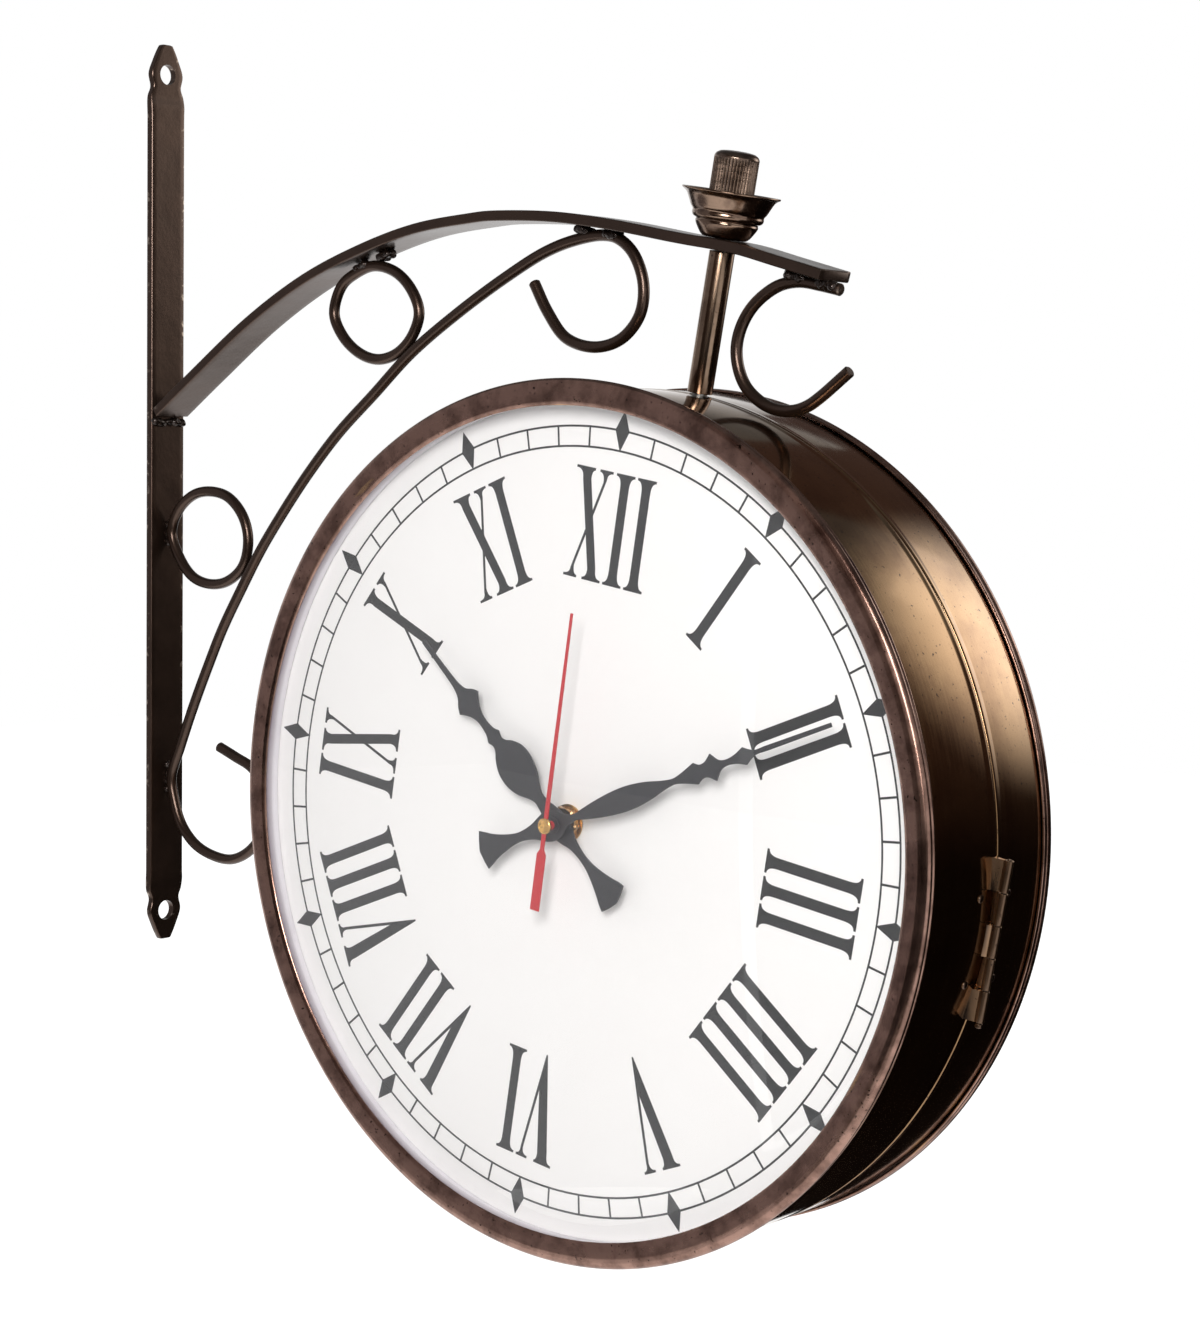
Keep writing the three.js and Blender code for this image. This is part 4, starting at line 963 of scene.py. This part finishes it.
# ---------------------------------------------------------------- hands
# Stamped from 0.6 mm sheet and sprayed satin black, the hour and minute hands in an old spade and fishtail
# pattern. The second hand is red, and a turned brass cap holds it on its arbor.
hand_lacquer, tree, _, grain, tone = mottled("satin black hand paint", 0.9, (0x131316, 0x212127), 3)
finish(tree, tone, grain, 0.15, 0.00005, {"Roughness": 0.45})
# Red spray enamel: strong red with a soft gloss.
red_enamel, tree, _, grain, tone = mottled("red hand enamel", 0.9, (0xb3151f, 0xc4222c), 3)
finish(tree, tone, grain, 0.1, 0.00005, {"Roughness": 0.35})

# Half width at each distance from the arbor. Each row is a smooth run and they meet in sharp points.
HOUR_RUNS = [
    [(-37.4, 0), (-37.0, 1.6), (-36.3, 4.2), (-35.2, 7.0)],
    [(-35.2, 7.0), (-32.5, 6.2), (-30, 5.0), (-25, 3.1), (-20, 1.75), (-15, 1.45), (-10, 2.15), (-5.5, 4),
     (0, 5), (5, 3.8), (9, 2.7), (12.5, 2.4), (15, 3.4), (20, 6.5), (24, 7.9), (28, 8.3), (32, 7.6),
     (36, 5.3), (38, 3.4), (40, 2.6), (42.7, 3.5)],
    [(42.7, 3.5), (45, 2.2), (49, 1.6), (52, 1.8), (55, 2.9), (58, 5), (59.5, 6.4)],
    [(59.5, 6.4), (62, 4.9), (64.5, 2.6), (68, 1.5), (73, 1.15), (91, 0.85)],
    [(91, 0.85), (91, 0)]]
MINUTE_RUNS = [
    [(-37.4, 0), (-37.0, 1.6), (-36.3, 4.2), (-35.3, 7.1)],
    [(-35.3, 7.1), (-32.5, 5.9), (-30, 4.7), (-25, 3.1), (-20, 2.0), (-16, 1.75), (-10, 2.8), (-7, 4),
     (-3.7, 5.25), (0, 5.6), (3, 4.7), (6, 2.5), (10.5, 1.25), (15, 2.0), (20, 2.9), (25, 3.6), (30, 4.1),
     (36, 4.3), (42.5, 3.8), (47.5, 2.95), (52.5, 1.8), (58, 1.1), (62, 1.9), (65, 2.8), (68, 3.8)],
    [(68, 3.8), (70.5, 2.5), (73, 2.75), (76, 4.8)],
    [(76, 4.8), (79, 1.8), (82, 1.1), (86, 1.6), (88.5, 2.5), (90, 3.1)],
    [(90, 3.1), (92, 1.9), (94.5, 0.9), (100, 0.9), (127.5, 0.75)],
    [(127.5, 0.75), (127.5, 0)]]
SECOND_RUNS = [
    [(-31, 0), (-31, 2)], [(-31, 2), (-10.5, 2)], [(-10.5, 2), (-8.6, 0.8)],
    [(-8.6, 0.8), (0, 0.84), (77, 0.45)], [(77, 0.45), (77, 0)]]


def blade(runs, front):
    """Flat hand drawn as half widths from tail to tip and mirrored, with its face at y = front."""
    right = []
    for run in runs:
        points = [Vector((half, along)) for along, half in run]
        line = smooth_line(points, steps=6) if len(points) > 2 else points
        right += line[:-1]
    right.append(Vector((0, runs[-1][-1][0])))
    left = [Vector((-point.x, point.y)) for point in reversed(right[1:-1])]
    outline = [*right, *left]
    return skin([
        [(point.x * share, y, point.y) for point in outline]
        for y, share in ((front + 0.6, 0.985), (front + 0.5, 1), (front + 0.1, 1), (front, 0.985))])


HANDS = (
    ("hour", HOUR_RUNS, -6.3, hand_lacquer, "hand_paint", math.radians(-57.4)),
    ("minute", MINUTE_RUNS, -8.8, hand_lacquer, "hand_paint", math.radians(59.2)),
    ("second", SECOND_RUNS, -13.3, red_enamel, "second_hand_paint", math.radians(-1.9)))
for side, place, _, _ in FACES:
    for name, runs, front, material, slot, angle in HANDS:
        hub = {
            "hour": turned(soften([(2.0, -6.9), (4, -6.9), (4, -5.1), (2.0, -5.1)], 0.2), 48),
            "minute": turned(soften([
                (1.1, -9.4), (3.2, -9.4), (3.2, -7.2), (1.6, -7.2), (1.6, -5.1), (1.1, -5.1)], 0.2), 48),
            "second": turned(soften([
                (0, -13.2), (1.7, -13.2), (1.7, -9.7), (0.6, -9.7), (0.6, -5.1), (0, -5.1)],
                0.15, closed=False), 40),
        }[name]
        hand_place = place @ Matrix.Rotation(angle, 4, "Y")
        hand = settle(f"{side}_{name}_blade", join(blade(runs, front), hub), hand_place, material)
        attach(hand, f"{side}_{name}")
        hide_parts(f"{side}_{name}_hand")
    cap_outline = soften([
        (0, -12.6), (2.4, -12.6), (2.9, -12.9), (2.9, -13.6), (2.6, -13.9), (2.2, -13.9), (2.0, -13.75),
        (0, -13.75)], 0.12, closed=False)
    cap = settle(f"{side}_second_cap", turned(cap_outline, 48), place, bright_brass)
    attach(cap, f"{side}_second")

# ---------------------------------------------------------------- hinge
# Slim butt hinge on the seam at three o'clock. Each brass leaf lies flush in the wall of its drum, held
# by two small rivets, and is curled into knuckles around one pin.
HINGE_AXIS = 158.5
LEAF_RADIUS = 155.3
LEAF_THICKNESS = 0.5
KNUCKLE_RADIUS = 1.6
KNUCKLE_LENGTH = 11
KNUCKLE_PITCH = 11.4
hinge_brass = aged_brass("dark hinge brass", 0x4b3b31, 0x2a201b, (3, 3, 40), 8, (0.22, 0.36), 0.2)
for side, sign, body in (("front", -1, "front_half"), ("rear", 1, "clock")):
    rings = []
    for k in range(41):
        angle = math.radians(-10.35 + 20.7 * k / 40)
        ease = max(0, (abs(k - 20) - 17) / 3) ** 2
        reach = 12.6 - 1.6 * ease
        section = soften([
            (LEAF_RADIUS, 3.4), (LEAF_RADIUS, reach), (LEAF_RADIUS + LEAF_THICKNESS, reach),
            (LEAF_RADIUS + LEAF_THICKNESS, 3.4)], 0.15)
        rings.append([(r * math.cos(angle), sign * y, r * math.sin(angle)) for r, y in section])
    parts = [skin(rings)]
    for i in range(0 if sign < 0 else 1, 5, 2):
        low = (i - 2.5) * KNUCKLE_PITCH + 0.2
        high = low + KNUCKLE_LENGTH
        barrel = turned(soften([
            (0.8, low), (KNUCKLE_RADIUS, low), (KNUCKLE_RADIUS, high), (0.8, high)], 0.2), 40, "Z")
        tab = soften([(156.3, 3.4), (156.3, 0.2), (157.4, 0.2), (157.4, 1.4)], 0.2)
        curl = skin([[(x, sign * y, z) for x, y in tab] for z in (low, high)])
        for vert in curl.verts:
            if vert.co.x < 157:
                vert.co.x = math.sqrt((LEAF_RADIUS + 0.1) ** 2 - vert.co.z**2)
        parts += [shift(barrel, HINGE_AXIS, 0, 0), curl]
    leaf = settle(f"{side}_hinge_leaf_curled", join(*parts), CLOCK, hinge_brass)
    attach(leaf, body)
    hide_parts(f"{side}_hinge_leaf")
    for word, up in (("upper", 15), ("lower", -15)):
        seat = math.sqrt(DRUM_RADIUS**2 - up**2) + 0.02
        head = along_x(smooth_line([(1.5, 0), (1.4, 0.35), (1.0, 0.6), (0.5, 0.72), (0, 0.75)], steps=4)
                       + [Vector((0, -0.4)), Vector((0.8, -0.4)), Vector((0.8, 0))], 32)
        shift(head, seat, sign * 8.5, up)
        rivet = settle(f"{side}_rivet_{word}_head", head, CLOCK, hinge_brass, crease=50)
        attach(rivet, body)
        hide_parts(f"{side}_rivet_{word}")
pin_shape = turned(soften([
    (0, -30.3), (1.1, -30.3), (1.3, -30.1), (1.3, -29.0), (1.1, -28.7), (0.7, -28.7), (0.7, 28.5),
    (0.5, 28.7), (0, 28.7)], 0.12, closed=False), 32, "Z")
pin = settle("hinge_pin_headed", shift(pin_shape, HINGE_AXIS, 0, 0), CLOCK, hinge_brass)
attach(pin, "clock")
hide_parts("hinge_pin")

# ---------------------------------------------------------------- studio
# Pale floor below the hanging clock, a white room, one soft lamp before it and one behind it at the right.
# A glowing cloth behind it and dark and grey cards around it are seen only in its gloss.
def seen_rays(tree):
    """The light paths of a tree, and whether a ray comes from the camera, straight or through glass."""
    paths = add(tree, "ShaderNodeLightPath")
    return paths, add(tree, "ShaderNodeMath", {
        0: paths.outputs["Is Camera Ray"], 1: paths.outputs["Is Transmission Ray"]}, operation="MAXIMUM")


def facing(centre, target):
    """Where a thing stands whose own -Z looks from the centre at the target."""
    look = (Vector(target) - Vector(centre)).normalized()
    return Matrix.Translation(centre) @ look.to_track_quat("-Z", "Y").to_matrix().to_4x4()


# Matt white floor paint, a little cloudy, which glows so that the camera sees it as pale as the room.
floor_paint, tree, _, _, tone = mottled("pale studio floor", 500, (0xebebeb, 0xf2f2f2), 3)
matt = add(tree, "ShaderNodeBsdfDiffuse", {"Color": tone.outputs[2]})
glow = add(tree, "ShaderNodeEmission", {"Strength": 0.75})
both = add(tree, "ShaderNodeAddShader", {0: matt.outputs[0], 1: glow.outputs[0]})
paths, seen = seen_rays(tree)
seen_or_gloss = add(tree, "ShaderNodeMath", {
    0: seen.outputs[0], 1: paths.outputs["Is Glossy Ray"]}, operation="MAXIMUM")
surface = add(tree, "ShaderNodeMixShader", {
    0: seen_or_gloss.outputs[0], 1: matt.outputs[0], 2: both.outputs[0]})
add(tree, "ShaderNodeOutputMaterial", {"Surface": surface.outputs[0]})
floor_shape = bmesh.new()
floor_shape.faces.new([floor_shape.verts.new(corner) for corner in (
    (-8, -8, 0), (8, -8, 0), (8, 8, 0), (-8, 8, 0))])
made = make("floor", floor_shape, floor_paint)
made.matrix_world = facing((0.2, 0, -1.1), (0.2, 0, -5))

card_black, tree, spot = new_material("dark studio card")
height = add(tree, "ShaderNodeMapRange", {
    "Value": add(tree, "ShaderNodeSeparateXYZ", {"Vector": spot}).outputs["Z"],
    "From Min": -0.35, "From Max": 0.3}, interpolation_type="SMOOTHSTEP")
tone = add(tree, "ShaderNodeMix", {
    0: height.outputs[0], 6: linear(0x140e0b), 7: linear(0x51403a)}, data_type="RGBA")
shade = add(tree, "ShaderNodeEmission", {"Color": tone.outputs[2], "Strength": 1.0})
add(tree, "ShaderNodeOutputMaterial", {"Surface": shade.outputs[0]})
card_grey, tree, _ = new_material("grey studio card")
shade = add(tree, "ShaderNodeEmission", {"Color": linear(0xa29fa2), "Strength": 1.0})
add(tree, "ShaderNodeOutputMaterial", {"Surface": shade.outputs[0]})
clock_middle = CLOCK.translation

# Glowing cloth behind the clock, brightest at its middle, which lays a soft golden band on the case.
glow_middle = clock_middle + Vector((0.435, 1.025, 0.44))
card_glow, tree, spot = new_material("glowing studio cloth")
apart = add(tree, "ShaderNodeVectorMath", {0: spot, 1: glow_middle}, operation="DISTANCE")
fade = add(tree, "ShaderNodeMapRange", {
    "Value": apart.outputs["Value"], "From Min": 0.48, "From Max": 0.04}, interpolation_type="SMOOTHSTEP")
shade = add(tree, "ShaderNodeEmission", {"Color": (1.0, 0.97, 0.92, 1), "Strength": 3.4})
hole = add(tree, "ShaderNodeBsdfTransparent")
cloth = add(tree, "ShaderNodeMixShader", {0: fade.outputs[0], 1: hole.outputs[0], 2: shade.outputs[0]})
add(tree, "ShaderNodeOutputMaterial", {"Surface": cloth.outputs[0]})


def bent_card(name, azimuths, elevations, distance, material=card_black):
    """Card bent around the clock, seen only in the gloss of metal and glass. Azimuth 0 is toward +Y."""
    shape = bmesh.new()
    rows = []
    for i in range(9):
        up = math.radians(elevations[0] + (elevations[1] - elevations[0]) * i / 8)
        row = []
        for k in range(17):
            turn = math.radians(azimuths[0] + (azimuths[1] - azimuths[0]) * k / 16)
            away = Vector((math.sin(turn) * math.cos(up), math.cos(turn) * math.cos(up), math.sin(up)))
            row.append(shape.verts.new(clock_middle + away * distance))
        rows.append(row)
    for below, above in zip(rows, rows[1:]):
        for k in range(16):
            shape.faces.new((below[k], below[k + 1], above[k + 1], above[k]))
    card = make(name, shape, material)
    card.visible_camera = False
    card.visible_diffuse = False
    card.visible_shadow = False
    card.visible_transmission = False


bent_card("card_behind", (-28, 80), (-52, 30), 1.25)
bent_card("card_above", (-17, 12), (29, 62), 1.25)
bent_card("card_glow", (-14, 60), (-18, 58), 1.19, card_glow)
bent_card("card_before", (125, 204), (-50, 55), 2.1)
bent_card("card_left", (205, 258), (-50, 55), 2.1, card_grey)


def lamp(name, size, power, centre, target):
    """Square soft lamp, which the camera doesn't see."""
    light = bpy.data.lights.new(name, "AREA")
    light.size = size
    light.energy = power
    made = bpy.data.objects.new(name, light)
    bpy.context.collection.objects.link(made)
    made.matrix_world = facing(centre, target)
    made.visible_camera = False


lamp("front_lamp", 0.55, 19.5, clock_middle + Vector((0.78, -1.28, 0.55)), clock_middle)
lamp("back_lamp", 0.5, 0.6, clock_middle + Vector((0.545, 1.6, 0.9)), clock_middle)

world = bpy.data.worlds.new("white room")
bpy.context.scene.world = world
world.use_nodes = True
tree = world.node_tree
tree.nodes.clear()
paths, seen = seen_rays(tree)
upward = add(tree, "ShaderNodeSeparateXYZ", {"Vector": add(tree, "ShaderNodeTexCoord").outputs["Generated"]})
ceiling = add(tree, "ShaderNodeMapRange", {
    "Value": upward.outputs["Z"], "From Min": 0.15, "From Max": 0.52, "To Min": 1.0, "To Max": 0.14})
gloss = add(tree, "ShaderNodeMix", {
    0: paths.outputs["Is Glossy Ray"], 2: 0.5, 3: ceiling.outputs[0]}, data_type="FLOAT")
strength = add(tree, "ShaderNodeMix", {0: seen.outputs[0], 2: gloss.outputs[0], 3: 1.0}, data_type="FLOAT")
background = add(tree, "ShaderNodeBackground", {"Color": (1, 1, 1, 1), "Strength": strength.outputs[0]})
add(tree, "ShaderNodeOutputWorld", {"Surface": background.outputs[0]})
bpy.context.scene.view_settings.view_transform = "Standard"
